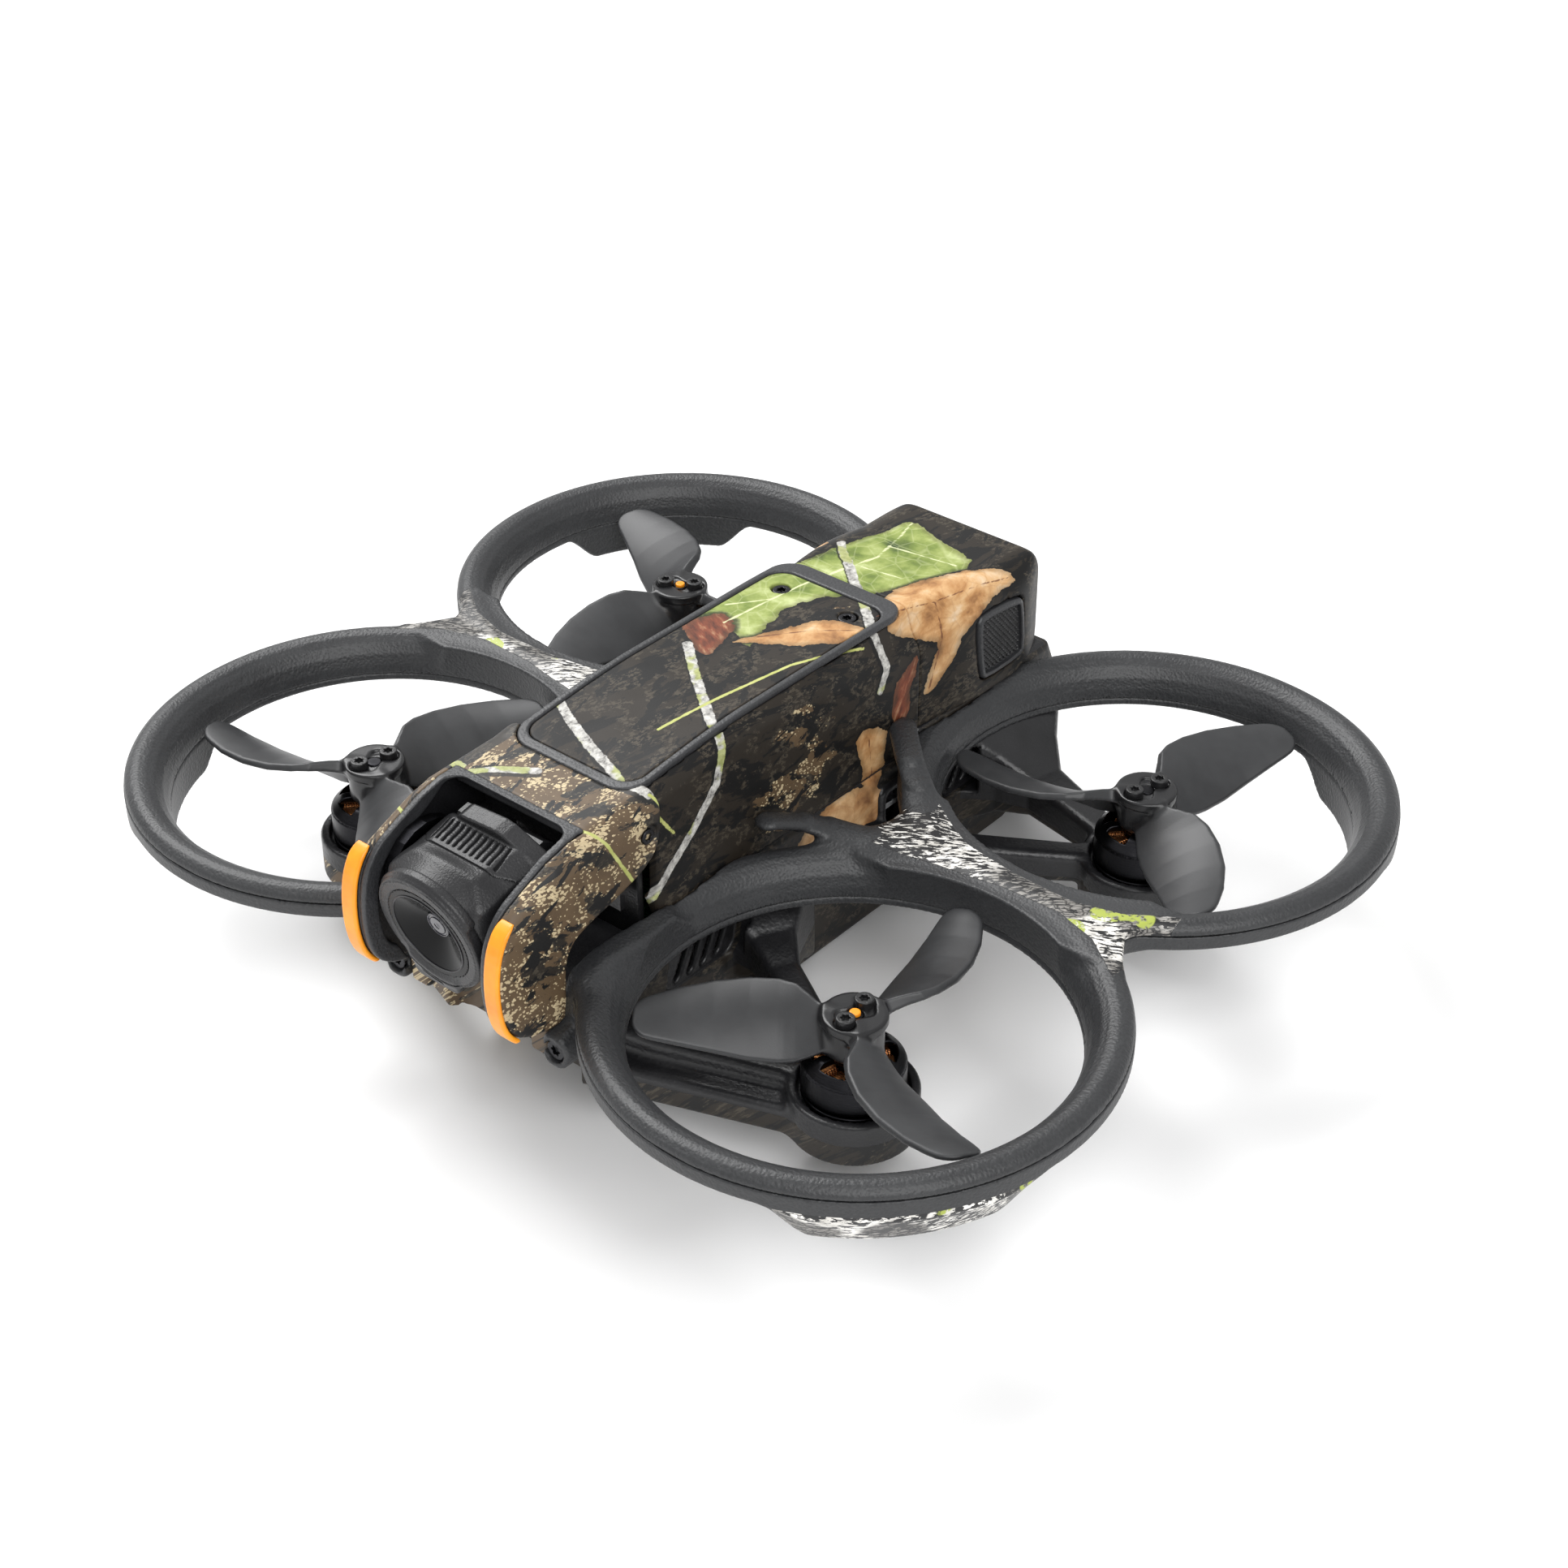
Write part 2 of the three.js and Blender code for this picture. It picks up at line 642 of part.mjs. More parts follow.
function lensHood() {
  const rim = turned([
    [8.25, HOOD_FACE],
    [HOOD_RADIUS, HOOD_FACE],
    [HOOD_RADIUS, HOOD_FACE - 2.4],
    [9.6, HOOD_FACE - 3],
    [3.1, HOOD_FACE - 3],
    [2.6, HOOD_FACE - 2.5],
    [8.1, HOOD_FACE - 0.9],
  ], 24);
  const tab = toSolid(new THREE.BoxGeometry(9, 3.2, 2.2).translate(0, -HOOD_RADIUS - 0.9, HOOD_FACE - 1.2));
  const facing = new THREE.Matrix4().makeRotationX(Math.PI / 2);
  return toSolid(toGeometry(join(rim, tab)).applyMatrix4(facing));
}

function camera() {
  const head = new THREE.Group();
  head.position.set(0, TILT_Y, TILT_Z);
  head.rotation.x = THREE.MathUtils.degToRad(REST_PITCH);
  drone.add(head);
  piece('camera_body', cut(cameraBody(), lengthwise(2.7, -20, -HOOD_FACE + 4.4, 0, 0)), 'black', head);
  piece('camera_back', cameraBack(), 'black', head);
  piece('lens_hood', lensHood(), 'black', head);
  piece('lens_glass', lengthwise(2.3, -HOOD_FACE + 2.9, -HOOD_FACE + 4.1, 0, 0), 'glass', head);
  piece('tilt_motor', across(8.9, -13.6, -11.5, TILT_Y, TILT_Z, 20), 'black');
  piece('gimbal_yoke', gimbalYoke(), 'black');
  piece('gimbal_plate', box(-13.6, 13.6, -52.4, -51.2, 38, 56.4), 'black');
  dampers();
}

// ---- Battery ----
const BATTERY_SIDE = [
  [BATTERY_SEAM_Y + GAP, BATTERY_FLOOR_Z],
  [74.2, BATTERY_FLOOR_Z],
  [71.5, 42],
  [70.2, 49.5],
  [67, 57],
  [63, 61.2],
  [45, 62.6],
  [BATTERY_SEAM_Y + GAP, 63.4],
];
const HEAD_STATIONS = [
  [BATTERY_SEAM_Y + GAP, 13.4, 17, 63.4, 57.5],
  [38, 13, 18.6, 62.9, 55.5],
  [47, 12.8, 19.7, 62.4, 54.5],
  [62, 12.6, 19.6, 61.4, 54],
  [75, 11.6, 18.4, 61, 53],
];
const BUCKLE = [
  [41.6, 44.5],
  [42.2, 41.8],
  [56.4, 46.4],
  [57, 49],
  [56, 54.6],
  [53.6, 54.9],
  [42.6, 50.8],
];

function batteryCase() {
  const head = skinned(
    HEAD_STATIONS.map(([y, halfTop, side, top, sh]) =>
      bodySection(y, halfTop, side, top, sh, BATTERY_FLOOR_Z)),
    false,
  ).intersect(prismAcross(BATTERY_SIDE, -22, 22));
  const core = box(-13.8, 13.8, -31.5, 30, BATTERY_FLOOR_Z, 56.6);
  const room = box(-12.4, 12.4, -40, 60, BATTERY_FLOOR_Z + 1.8, 54.8);
  const opening = BUCKLE.map(([y, z]) => [49 + (y - 49) * 1.06, 48.5 + (z - 48.5) * 1.08]);
  const pocket = prismAcross(opening, 15, 22);
  const button = lengthwise(4.4, 66.5, 80, 0, 45);
  const lights = box(-7.3, 7.3, 68, 80, 51.6, 53.4);
  return cut(join(head, core), room, pocket, mirrored(pocket), button, lights);
}

function battery() {
  const pack = new THREE.Group();
  drone.add(pack);
  piece('battery_case', batteryCase(), 'camouflage', pack);
  piece('battery_cells', box(-12, 12, -26, 58, BATTERY_FLOOR_Z + 2.1, 54.5), 'cell', pack);
  piece('battery_connector', box(-12, 12, -33.5, -26.4, BATTERY_FLOOR_Z + 2.1, 54.5), 'black', pack);
  const buckle = prismAcross(BUCKLE, 16.8, 19.9);
  piece('battery_buckle_left', buckle, 'charcoal', pack);
  piece('battery_buckle_right', mirrored(buckle), 'charcoal', pack);
  piece('power_button', lengthwise(4, 67.4, 70.6, 0, 45, 24), 'charcoal', pack);
  piece('battery_light_bar', box(-7, 7, 68.2, 69.4, 51.9, 53.1), 'glass', pack);
}

// ---- Motors and propellers ----
const STATOR = [
  [2.3, PAD_TOP_Z + GAP],
  [BELL_RADIUS, PAD_TOP_Z + GAP],
  [BELL_RADIUS, 17.7],
  [6.9, 17.9],
  [6.9, 23.6],
  [2.3, 23.6],
];
const BELL = [
  [0, 24.2],
  [7.4, 24.2],
  [7.4, 18.3],
  [BELL_RADIUS, 18.3],
  [BELL_RADIUS, 24.4],
  [7.4, BELL_TOP_Z],
  [1.5, BELL_TOP_Z],
  [1.5, HUB_TOP_Z],
  [0, HUB_TOP_Z],
];
const HUB = [
  [1.9, BELL_TOP_Z + GAP],
  [5, BELL_TOP_Z + GAP],
  [5.2, 32.4],
  [5.8, 32.8],
  [5.5, HUB_TOP_Z],
  [1.9, HUB_TOP_Z],
];

// One blade along +X, for a propeller turning anticlockwise seen from above. Its leading edge is at +Y.
function blade() {
  const stations = [
    { r: 3.5, chord: 7.5, pitch: 38, z: 30 },
    { r: 8, chord: 9.5, pitch: 34, z: 30 },
    { r: 15, chord: 15, pitch: 27, z: 29.6 },
    { r: 23, chord: 16.5, pitch: 22, z: 29.6 },
    { r: 31, chord: 14, pitch: 17, z: 30.2 },
    { r: BLADE_TIP_RADIUS - 0.5, chord: 9.5, pitch: 12, z: 31 },
  ];
  const rows = stations.map(({ r, chord, pitch, z }) => {
    const tilt = THREE.MathUtils.degToRad(pitch);
    const outline = [[-0.5, 0], [-0.2, -0.3], [0.25, -0.3], [0.5, 0.1], [0.28, 0.75], [-0.15, 0.7]];
    return outline.map(([along, thick]) => {
      const point = new THREE.Vector2(along * chord, thick).rotateAround(new THREE.Vector2(), tilt);
      return new THREE.Vector3(r, point.x, z + point.y);
    });
  });
  return skinned(rows, false);
}

function propeller() {
  const wing = toGeometry(blade());
  const bore = upright(1.9, 20, 40, 0, 0, 16);
  let body = turned(HUB, 16);
  for (let i = 0; i < BLADE_COUNT; i += 1) {
    body = join(body, toSolid(wing.clone().rotateZ((i / BLADE_COUNT) * 2 * Math.PI)));
  }
  return body.subtract(bore);
}

function rotors() {
  const anticlockwise = propeller();
  const clockwise = toSolid(toGeometry(anticlockwise).scale(1, -1, 1));
  for (const { name, x, y, spin, phase } of CORNERS) {
    const stator = piece(`motor_stator_${name}`, turned(STATOR, 14), 'copper');
    stator.position.set(x, y, 0);
    const rotor = new THREE.Group();
    rotor.position.set(x, y, 0);
    rotor.rotation.z = THREE.MathUtils.degToRad(phase);
    drone.add(rotor);
    piece(`motor_bell_${name}`, turned(BELL, 18), 'black', rotor);
    piece(`propeller_${name}`, spin > 0 ? anticlockwise : clockwise, 'blade', rotor);
  }
}

// ---- Assembly ----
piece('lower_frame', lowerFrame(), 'black');
piece('upper_shell', upperShell(), 'camouflage');
piece('cover_rim', coverRim(), 'charcoal');
piece('top_cover', topCover(), 'camouflage');
piece('nose_cage', noseCage(), 'camouflage');
piece('nose_trim', noseTrim(), 'charcoal');
piece('nose_bumper_left', noseBumper(), 'orange');
piece('nose_bumper_right', mirrored(noseBumper()), 'orange');
piece('guard_left_upper', guardUpper(), 'charcoal');
piece('guard_left_lower', guardLower(), 'charcoal');
piece('guard_right_upper', mirrored(guardUpper()), 'charcoal');
piece('guard_right_lower', mirrored(guardLower()), 'charcoal');
screws();
electronics();
camera();
battery();
rotors();

export default drone;
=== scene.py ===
import math
from functools import partial, reduce

import bpy
import numpy as np
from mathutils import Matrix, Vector


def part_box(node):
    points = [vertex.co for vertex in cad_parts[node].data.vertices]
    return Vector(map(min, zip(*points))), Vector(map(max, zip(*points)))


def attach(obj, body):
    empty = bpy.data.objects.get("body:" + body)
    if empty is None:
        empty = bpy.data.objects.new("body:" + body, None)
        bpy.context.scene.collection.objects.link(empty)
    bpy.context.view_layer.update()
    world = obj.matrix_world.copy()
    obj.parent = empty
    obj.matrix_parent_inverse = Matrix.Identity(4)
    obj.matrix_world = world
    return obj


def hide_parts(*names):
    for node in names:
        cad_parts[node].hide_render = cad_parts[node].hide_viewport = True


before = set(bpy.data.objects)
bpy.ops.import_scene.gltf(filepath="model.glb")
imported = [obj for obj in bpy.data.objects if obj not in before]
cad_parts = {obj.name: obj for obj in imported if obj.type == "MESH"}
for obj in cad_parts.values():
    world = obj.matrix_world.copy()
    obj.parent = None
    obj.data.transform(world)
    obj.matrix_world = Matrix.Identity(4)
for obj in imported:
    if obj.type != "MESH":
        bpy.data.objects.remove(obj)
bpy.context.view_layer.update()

MM = 0.001
DRAFT = 1.0  # a draft is meshed more coarsely

# ---- Driving dimensions, in millimetres ----
MOTOR_X = 59.1
MOTOR_Y = 43.7
THROAT = 38.9  # inner radius of a duct
BODY_SIDE = 17.0
TOP_Z = 64.0
TILT_Y = -73.0
TILT_Z = 47.6
REST_PITCH = math.radians(11.5)
PAD_TOP_Z = 16.2
BELL_RADIUS = 9.15
HUB_TOP_Z = 33.8
BLADE_TIP = 37.6

# Name, motor place, turning direction seen from above and the angle of the first blade.
CORNERS = [
    ("front_left", MOTOR_X, -MOTOR_Y, -1, 98),
    ("front_right", -MOTOR_X, -MOTOR_Y, 1, 75),
    ("rear_left", MOTOR_X, MOTOR_Y, 1, 76),
    ("rear_right", -MOTOR_X, MOTOR_Y, -1, 30),
]


# ---- Distance fields ----
def norm(*parts):
    return np.sqrt(sum(part * part for part in parts))


def union(a, b, blend=0.0):
    if blend == 0:
        return np.minimum(a, b)
    share = np.clip(0.5 + 0.5 * (b - a) / blend, 0, 1)
    return b + (a - b) * share - blend * share * (1 - share)


def overlap(a, b, blend=0.0):
    return -union(-a, -b, blend)


def carve(a, tool, blend=0.0):
    return -union(-a, tool, blend)


def most(*fields):
    """The overlap of several fields."""
    return reduce(np.maximum, fields)


def least(*fields):
    """The union of several fields."""
    return reduce(np.minimum, fields)


def ease(t):
    """Smooth step from 0 to 1."""
    t = np.clip(t, 0, 1)
    return t * t * (3 - 2 * t)


def slab(flat, along, low, high, edge=0.3):
    """A flat shape given by its own distance, thickened from low to high, with rounded edges."""
    q = flat + edge
    h = np.abs(along - (low + high) / 2) - (high - low) / 2 + edge
    return norm(np.maximum(q, 0), np.maximum(h, 0)) + np.minimum(np.maximum(q, h), 0) - edge


def rectangle(u, v, half_u, half_v, radius):
    q = np.abs(u) - half_u + radius
    h = np.abs(v) - half_v + radius
    return norm(np.maximum(q, 0), np.maximum(h, 0)) + np.minimum(np.maximum(q, h), 0) - radius


def block(x, y, z, low, high, edge=0.5):
    middle = [(a + b) / 2 for a, b in zip(low, high)]
    half = [(b - a) / 2 for a, b in zip(low, high)]
    flat = rectangle(x - middle[0], y - middle[1], half[0], half[1], edge)
    return slab(flat, z, low[2], high[2], edge)


def outline(u, v, points, radius=0.0):
    """Signed distance to a closed outline, grown and rounded by a radius."""
    best = None
    within = False
    for (u0, v0), (u1, v1) in zip(points, points[-1:] + points[:-1]):
        eu, ev = u1 - u0, v1 - v0
        wu, wv = u - u0, v - v0
        share = np.clip((wu * eu + wv * ev) / (eu * eu + ev * ev), 0, 1)
        gap = (wu - eu * share) ** 2 + (wv - ev * share) ** 2
        best = gap if best is None else np.minimum(best, gap)
        above, below = v >= v0, v < v1
        leftward = eu * wv > ev * wu
        crossing = (above & below & leftward) | (~above & ~below & ~leftward)
        within = crossing ^ within
    return np.where(within, -1.0, 1.0) * np.sqrt(best) - radius


def softened(points, rounds=2):
    """A closed outline with its corners cut round."""
    for _ in range(rounds):
        ends = zip(points, points[1:] + points[:1])
        points = [
            (a[0] + (b[0] - a[0]) * t, a[1] + (b[1] - a[1]) * t) for a, b in ends for t in (0.25, 0.75)
        ]
    return points


def limb(x, y, z, a, b, ra, rb):
    """A round limb between two points whose radius changes evenly."""
    run = [q - p for p, q in zip(a, b)]
    size = sum(c * c for c in run)
    share = ((x - a[0]) * run[0] + (y - a[1]) * run[1] + (z - a[2]) * run[2]) / size
    share = np.clip(share, 0, 1)
    off = [v - p - share * c for v, p, c in zip((x, y, z), a, run)]
    return norm(*off) - (ra + (rb - ra) * share)


def ribbon(x, y, z, path, wide, thin):
    """A band along a path, level across its width."""
    gaps = []
    for a, b in zip(path, path[1:]):
        run = [q - p for p, q in zip(a, b)]
        share = ((x - a[0]) * run[0] + (y - a[1]) * run[1]) / (run[0] ** 2 + run[1] ** 2)
        share = np.clip(share, 0, 1)
        off = [v - p - share * c for v, p, c in zip((x, y, z), a, run)]
        gaps.append(norm(off[0], off[1], off[2] * wide / thin) - wide)
    return least(*gaps)


def beam(x, y, z, stations, edge=0.8):
    """A level beam through plan stations [x, y, width, bottom, top], with rounded edges."""
    stations = np.array(stations, float)
    start = stations[0, :2]
    run = stations[-1, :2] - start
    size = math.hypot(*run)
    run = run / size
    along = (x - start[0]) * run[0] + (y - start[1]) * run[1]
    aside = (y - start[1]) * run[0] - (x - start[0]) * run[1]
    places = (stations[:, :2] - start) @ run
    drift = (stations[:, 1] - start[1]) * run[0] - (stations[:, 0] - start[0]) * run[1]
    middle = np.interp(along, places, drift)
    half, low, high = (np.interp(along, places, stations[:, k]) for k in (2, 3, 4))
    section = rectangle(aside - middle, z - (low + high) / 2, half / 2, (high - low) / 2, edge)
    return overlap(section, np.abs(along - size / 2) - size / 2)


# ---- Meshing ----
def settle(field, spots, step):
    """Moves points onto the zero level of a field."""
    reach = 0.3 * step
    for _ in range(2):
        x, y, z = spots.T
        here = field(x, y, z)
        slope = np.stack(
            [
                field(x + reach, y, z) - field(x - reach, y, z),
                field(x, y + reach, z) - field(x, y - reach, z),
                field(x, y, z + reach) - field(x, y, z - reach),
            ],
            1,
        ) / (2 * reach)
        steep = np.maximum((slope**2).sum(1), 0.1)
        shift = slope * (here / steep)[:, None]
        size = np.maximum(norm(*shift.T), 1e-9)
        spots = spots - shift * np.minimum(1, 0.5 * step / size)[:, None]
    return spots


def sculpt(field, low, high, step):
    """Meshes the zero level of a field with one point per crossed cell. Returns points and quads."""
    step *= DRAFT
    axes = [np.arange(a - 2 * step, b + 3 * step, step) for a, b in zip(low, high)]
    x, y, z = np.meshgrid(*axes, indexing="ij", sparse=True)
    shape = tuple(len(axis) for axis in axes)
    values = np.broadcast_to(field(x, y, z), shape)
    inside = values < 0
    quads, places = [], []
    for axis in range(3):
        near = tuple(slice(0, -1) if a == axis else slice(None) for a in range(3))
        far = tuple(slice(1, None) if a == axis else slice(None) for a in range(3))
        crossed = inside[near] != inside[far]
        at = np.argwhere(crossed)
        start, end = values[near][crossed], values[far][crossed]
        place = at.astype(float)
        place[:, axis] += start / (start - end)
        quad = []
        for across, up in ((-1, -1), (0, -1), (0, 0), (-1, 0)):
            cell = at.copy()
            cell[:, (axis + 1) % 3] += across
            cell[:, (axis + 2) % 3] += up
            quad.append(np.ravel_multi_index(cell.T, shape))
        quad = np.stack(quad, 1)
        quad[start > 0] = quad[start > 0][:, ::-1]
        quads.append(quad)
        places.append(np.repeat(place[:, None, :], 4, 1))
    quads = np.concatenate(quads)
    places = np.concatenate(places).reshape(-1, 3)
    _, faces = np.unique(quads, return_inverse=True)
    faces = faces.reshape(-1)
    count = np.bincount(faces)
    spots = np.stack([np.bincount(faces, places[:, k]) / count for k in range(3)], 1)
    spots = spots * step + [axis[0] for axis in axes]
    return settle(field, spots, step), faces.reshape(-1, 4)


def mirrored(shape):
    spots, faces = shape
    return spots * [-1, 1, 1], faces[:, ::-1]


def placed(shape, place, turn=0.0):
    """The shape turned about Z by some degrees and moved."""
    spots, faces = shape
    c, s = math.cos(math.radians(turn)), math.sin(math.radians(turn))
    return spots @ np.array([[c, s, 0], [-s, c, 0], [0, 0, 1]]) + place, faces


def add(name, shape, body, material, slot, *nodes):
    """Makes a piece that rides on a body, and stands for some CAD nodes."""
    spots, faces = shape
    mesh = bpy.data.meshes.new(name)
    mesh.from_pydata((spots * MM).tolist(), [], faces.tolist())
    mesh.polygons.foreach_set("use_smooth", [True] * len(mesh.polygons))
    mesh.materials.append(material)
    piece = bpy.data.objects.new(name, mesh)
    bpy.context.scene.collection.objects.link(piece)
    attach(piece, body)
    if nodes:
        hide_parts(*nodes)
    return piece


# ---- Shader building ----
class Graph:
    """One material's node tree. Each method adds a node and returns its output socket."""

    def __init__(self, name):
        self.material = bpy.data.materials.new(name)
        self.material.use_nodes = True
        self.tree = self.material.node_tree
        self.shader = self.tree.nodes["Principled BSDF"]
        place = self.node("TexCoord").outputs["Object"]
        self.place = self.vector("SCALE", place, scale=1 / MM)

    def feed(self, socket, value):
        if isinstance(value, bpy.types.NodeSocket):
            self.tree.links.new(value, socket)
        elif socket.type == "RGBA":
            socket.default_value = (*value[:3], 1)
        else:
            socket.default_value = value

    def node(self, kind, inputs=None, **settings):
        node = self.tree.nodes.new("ShaderNode" + kind)
        for key, value in settings.items():
            setattr(node, key, value)
        for key, value in (inputs or {}).items():
            self.feed(node.inputs[key], value)
        return node

    def math(self, operation, a, b=0.0, c=0.0):
        return self.node("Math", {0: a, 1: b, 2: c}, operation=operation).outputs[0]

    def vector(self, operation, a, b=(0, 0, 0), scale=1.0):
        inputs = {0: a, "Scale": scale} if operation == "SCALE" else {0: a, 1: b}
        return self.node("VectorMath", inputs, operation=operation).outputs[0]

    def stretched(self, at, sizes, turn=0.0):
        """Coordinates divided by a feature's size along each axis, after a turn about Z in degrees."""
        turned = self.node("VectorRotate", {"Vector": at, "Angle": math.radians(turn)}).outputs[0]
        return self.vector("DIVIDE", turned, sizes)

    def noise(self, at, size, detail=3.0, rough=0.55, warp=0.0):
        """Noise from 0 to 1 whose features are about a size across, in mm."""
        inputs = {"Vector": at, "Scale": 1 / size, "Detail": detail, "Roughness": rough, "Distortion": warp}
        return self.node("TexNoise", inputs).outputs["Fac"]

    def cells(self, at, size, feature="F1"):
        inputs = {"Vector": at, "Scale": 1 / size}
        return self.node("TexVoronoi", inputs, feature=feature).outputs["Distance"]

    def waver(self, at, size, detail, rough, reach):
        """A wandering offset about 0, for ragged edges."""
        return self.both(self.minus(self.noise(at, size, detail, rough), 0.5), reach)

    def fade(self, value, low, high):
        """0 below low and 1 above high, smooth between them. Low may be the larger one."""
        if low > high:
            return self.math("SUBTRACT", 1.0, self.fade(value, high, low))
        inputs = {"Value": value, "From Min": low, "From Max": high}
        return self.node("MapRange", inputs, interpolation_type="SMOOTHSTEP").outputs[0]

    def plus(self, a, b):
        return self.math("ADD", a, b)

    def minus(self, a, b):
        return self.math("SUBTRACT", a, b)

    def both(self, a, b):
        """The product, which is where two masks overlap."""
        return self.math("MULTIPLY", a, b)

    def scaled(self, value, by, offset):
        return self.math("MULTIPLY_ADD", value, by, offset)

    def mix(self, share, a, b):
        return self.node("Mix", {0: share, 6: a, 7: b}, data_type="RGBA").outputs[2]

    def blend(self, share, a, b):
        return self.node("Mix", {0: share, 2: a, 3: b}).outputs[0]

    def ramp(self, value, *stops):
        """Colours at places from 0 to 1."""
        node = self.node("ValToRGB", {0: value})
        band = node.color_ramp
        band.elements[0].position = stops[0][0]
        band.elements[1].position = stops[-1][0]
        for place, _ in stops[1:-1]:
            band.elements.new(place)
        for element, (_, colour) in zip(band.elements, stops):
            element.color = (*colour, 1)
        return node.outputs[0]

    def mark(self, name):
        """A distance or coordinate stored on the mesh's points, in mm."""
        return self.node("Attribute", attribute_name=name).outputs["Fac"]

    def finish(self, colour, roughness, height=None, relief=0.05, **others):
        """Connects the results. Relief is the height of a bump of 1, in mm."""
        self.feed(self.shader.inputs["Base Color"], colour)
        self.feed(self.shader.inputs["Roughness"], roughness)
        for key, value in others.items():
            self.feed(self.shader.inputs[key.replace("_", " ")], value)
        if height is not None:
            bump = self.node("Bump", {"Strength": 1.0, "Distance": relief * MM, "Height": height})
            self.feed(self.shader.inputs["Normal"], bump.outputs[0])
        return self.material


# ---- Plastics ----
def leather(g, at, size=0.42):
    """The height of a fine moulded leather grain."""
    pebbles = g.cells(at, size, "SMOOTH_F1")
    creases = g.noise(at, size * 1.6, 3, 0.6, 0.6)
    return g.scaled(creases, 0.9, pebbles)


def moulded(name, dark, light, roughness, size=0.42, relief=0.045, shine=0.5):
    """Moulded plastic: a leather grain, cloudy colour and polished patches."""
    g = Graph(name)
    cloud = g.noise(g.place, 14, 3)
    grain = leather(g, g.place, size)
    tint = g.scaled(grain, 0.25, g.both(cloud, 0.75))
    colour = g.ramp(tint, (0.3, dark), (0.75, light))
    gloss = g.scaled(g.noise(g.place, 5, 2), 0.14, roughness - 0.07)
    return g.finish(colour, gloss, grain, relief, Specular_IOR_Level=shine)


def birch(g, at):
    """Birch bark: white dashes on black near the body, cracked and grey farther out. Returns a colour."""
    outward = g.math("ABSOLUTE", g.node("SeparateXYZ", {0: at}).outputs[0])
    spread = g.scaled(g.noise(at, 14, 2), 24, g.minus(outward, 12))
    share = g.math("DIVIDE", spread, 110)
    levels = [(0.24, 0.60), (0.36, 0.565), (0.44, 0.49), (0.56, 0.52), (0.66, 0.46), (0.85, 0.53)]
    level = g.ramp(share, *[(place, (black,) * 3) for place, black in levels])
    dash = g.noise(g.stretched(at, (2.4, 0.55, 0.8), -38), 1, 4, 0.6, 0.25)
    aside = g.vector("ADD", at, (3, 1, 0))
    cracks = g.cells(g.stretched(aside, (1.9, 0.8, 1.0), -38), 1, "DISTANCE_TO_EDGE")
    grey = g.fade(g.noise(at, 15, 1), 0.45, 0.50)
    white = g.ramp(g.noise(at, 3.2, 4, 0.6), (0.3, (0.50, 0.48, 0.44)), (0.6, (0.86, 0.84, 0.80)))
    bark = g.ramp(cracks, (0.02, (0.02, 0.018, 0.016)), (0.1, (0.20, 0.19, 0.175)),
                  (0.6, (0.36, 0.34, 0.32)))
    colour = g.mix(g.both(grey, g.fade(outward, 52, 58)), white, bark)
    colour = g.mix(g.fade(g.minus(dash, level), 0.0, -0.02), colour, (0.010, 0.010, 0.011))
    moss = g.both(g.fade(g.noise(at, 9, 1, 0.5), 0.63, 0.65), g.fade(g.noise(at, 1.1, 3), 0.35, 0.5))
    return g.mix(moss, colour, (0.36, 0.42, 0.07))


def guard_plastic():
    """Charcoal grained plastic, with a birch-bark skin where the mark called skin is negative."""
    g = Graph("guard_plastic")
    grain = leather(g, g.place, 0.5)
    cloud = g.noise(g.place, 16, 3)
    tint = g.scaled(grain, 0.3, g.both(cloud, 0.7))
    plastic = g.ramp(tint, (0.3, (0.015, 0.0155, 0.017)), (0.75, (0.032, 0.033, 0.035)))
    skin = g.fade(g.mark("skin"), 0.06, -0.06)
    colour = g.mix(skin, plastic, birch(g, g.place))
    height = g.both(grain, g.minus(1.0, g.both(skin, 0.9)))
    rough = g.blend(skin, g.scaled(cloud, 0.16, 0.36), 0.42)
    return g.finish(colour, rough, height, 0.085)


def blade_plastic():
    """Satin blades, with a glossy black hub where the mark called skin is negative."""
    g = Graph("blade_plastic")
    cloud = g.noise(g.place, 9, 3)
    satin = g.ramp(cloud, (0.3, (0.022, 0.0225, 0.024)), (0.7, (0.036, 0.037, 0.039)))
    hub_share = g.fade(g.mark("skin"), 0.3, -0.3)
    colour = g.mix(hub_share, satin, (0.010, 0.010, 0.011))
    rough = g.blend(hub_share, g.scaled(cloud, 0.12, 0.36), 0.28)
    return g.finish(colour, rough, g.noise(g.place, 0.3, 2), 0.01)


# ---- The woodland skin ----
NIGHT = (0.0035, 0.0033, 0.0032)
EARTH = (0.019, 0.0145, 0.010)
ASH = (0.056, 0.046, 0.033)
CREAM = (0.70, 0.58, 0.36)
MOSS = (0.30, 0.34, 0.05)
BIRCH = (0.62, 0.61, 0.57)


def undergrowth(g, at):
    """Dark bark and earth in layered ragged patches, streaked along the body."""
    streaks = g.noise(g.stretched(at, (15, 4.6, 4.6), -12), 1, 7, 0.66, 0.5)
    colour = g.mix(g.fade(streaks, 0.47, 0.49), NIGHT, EARTH)
    crumbs = g.noise(g.stretched(at, (1.3, 0.8, 0.8), -12), 1, 4, 0.7)
    ashes = g.both(g.fade(g.noise(at, 7.5, 6, 0.65), 0.50, 0.53), g.fade(crumbs, 0.49, 0.53))
    return g.mix(ashes, colour, ASH)


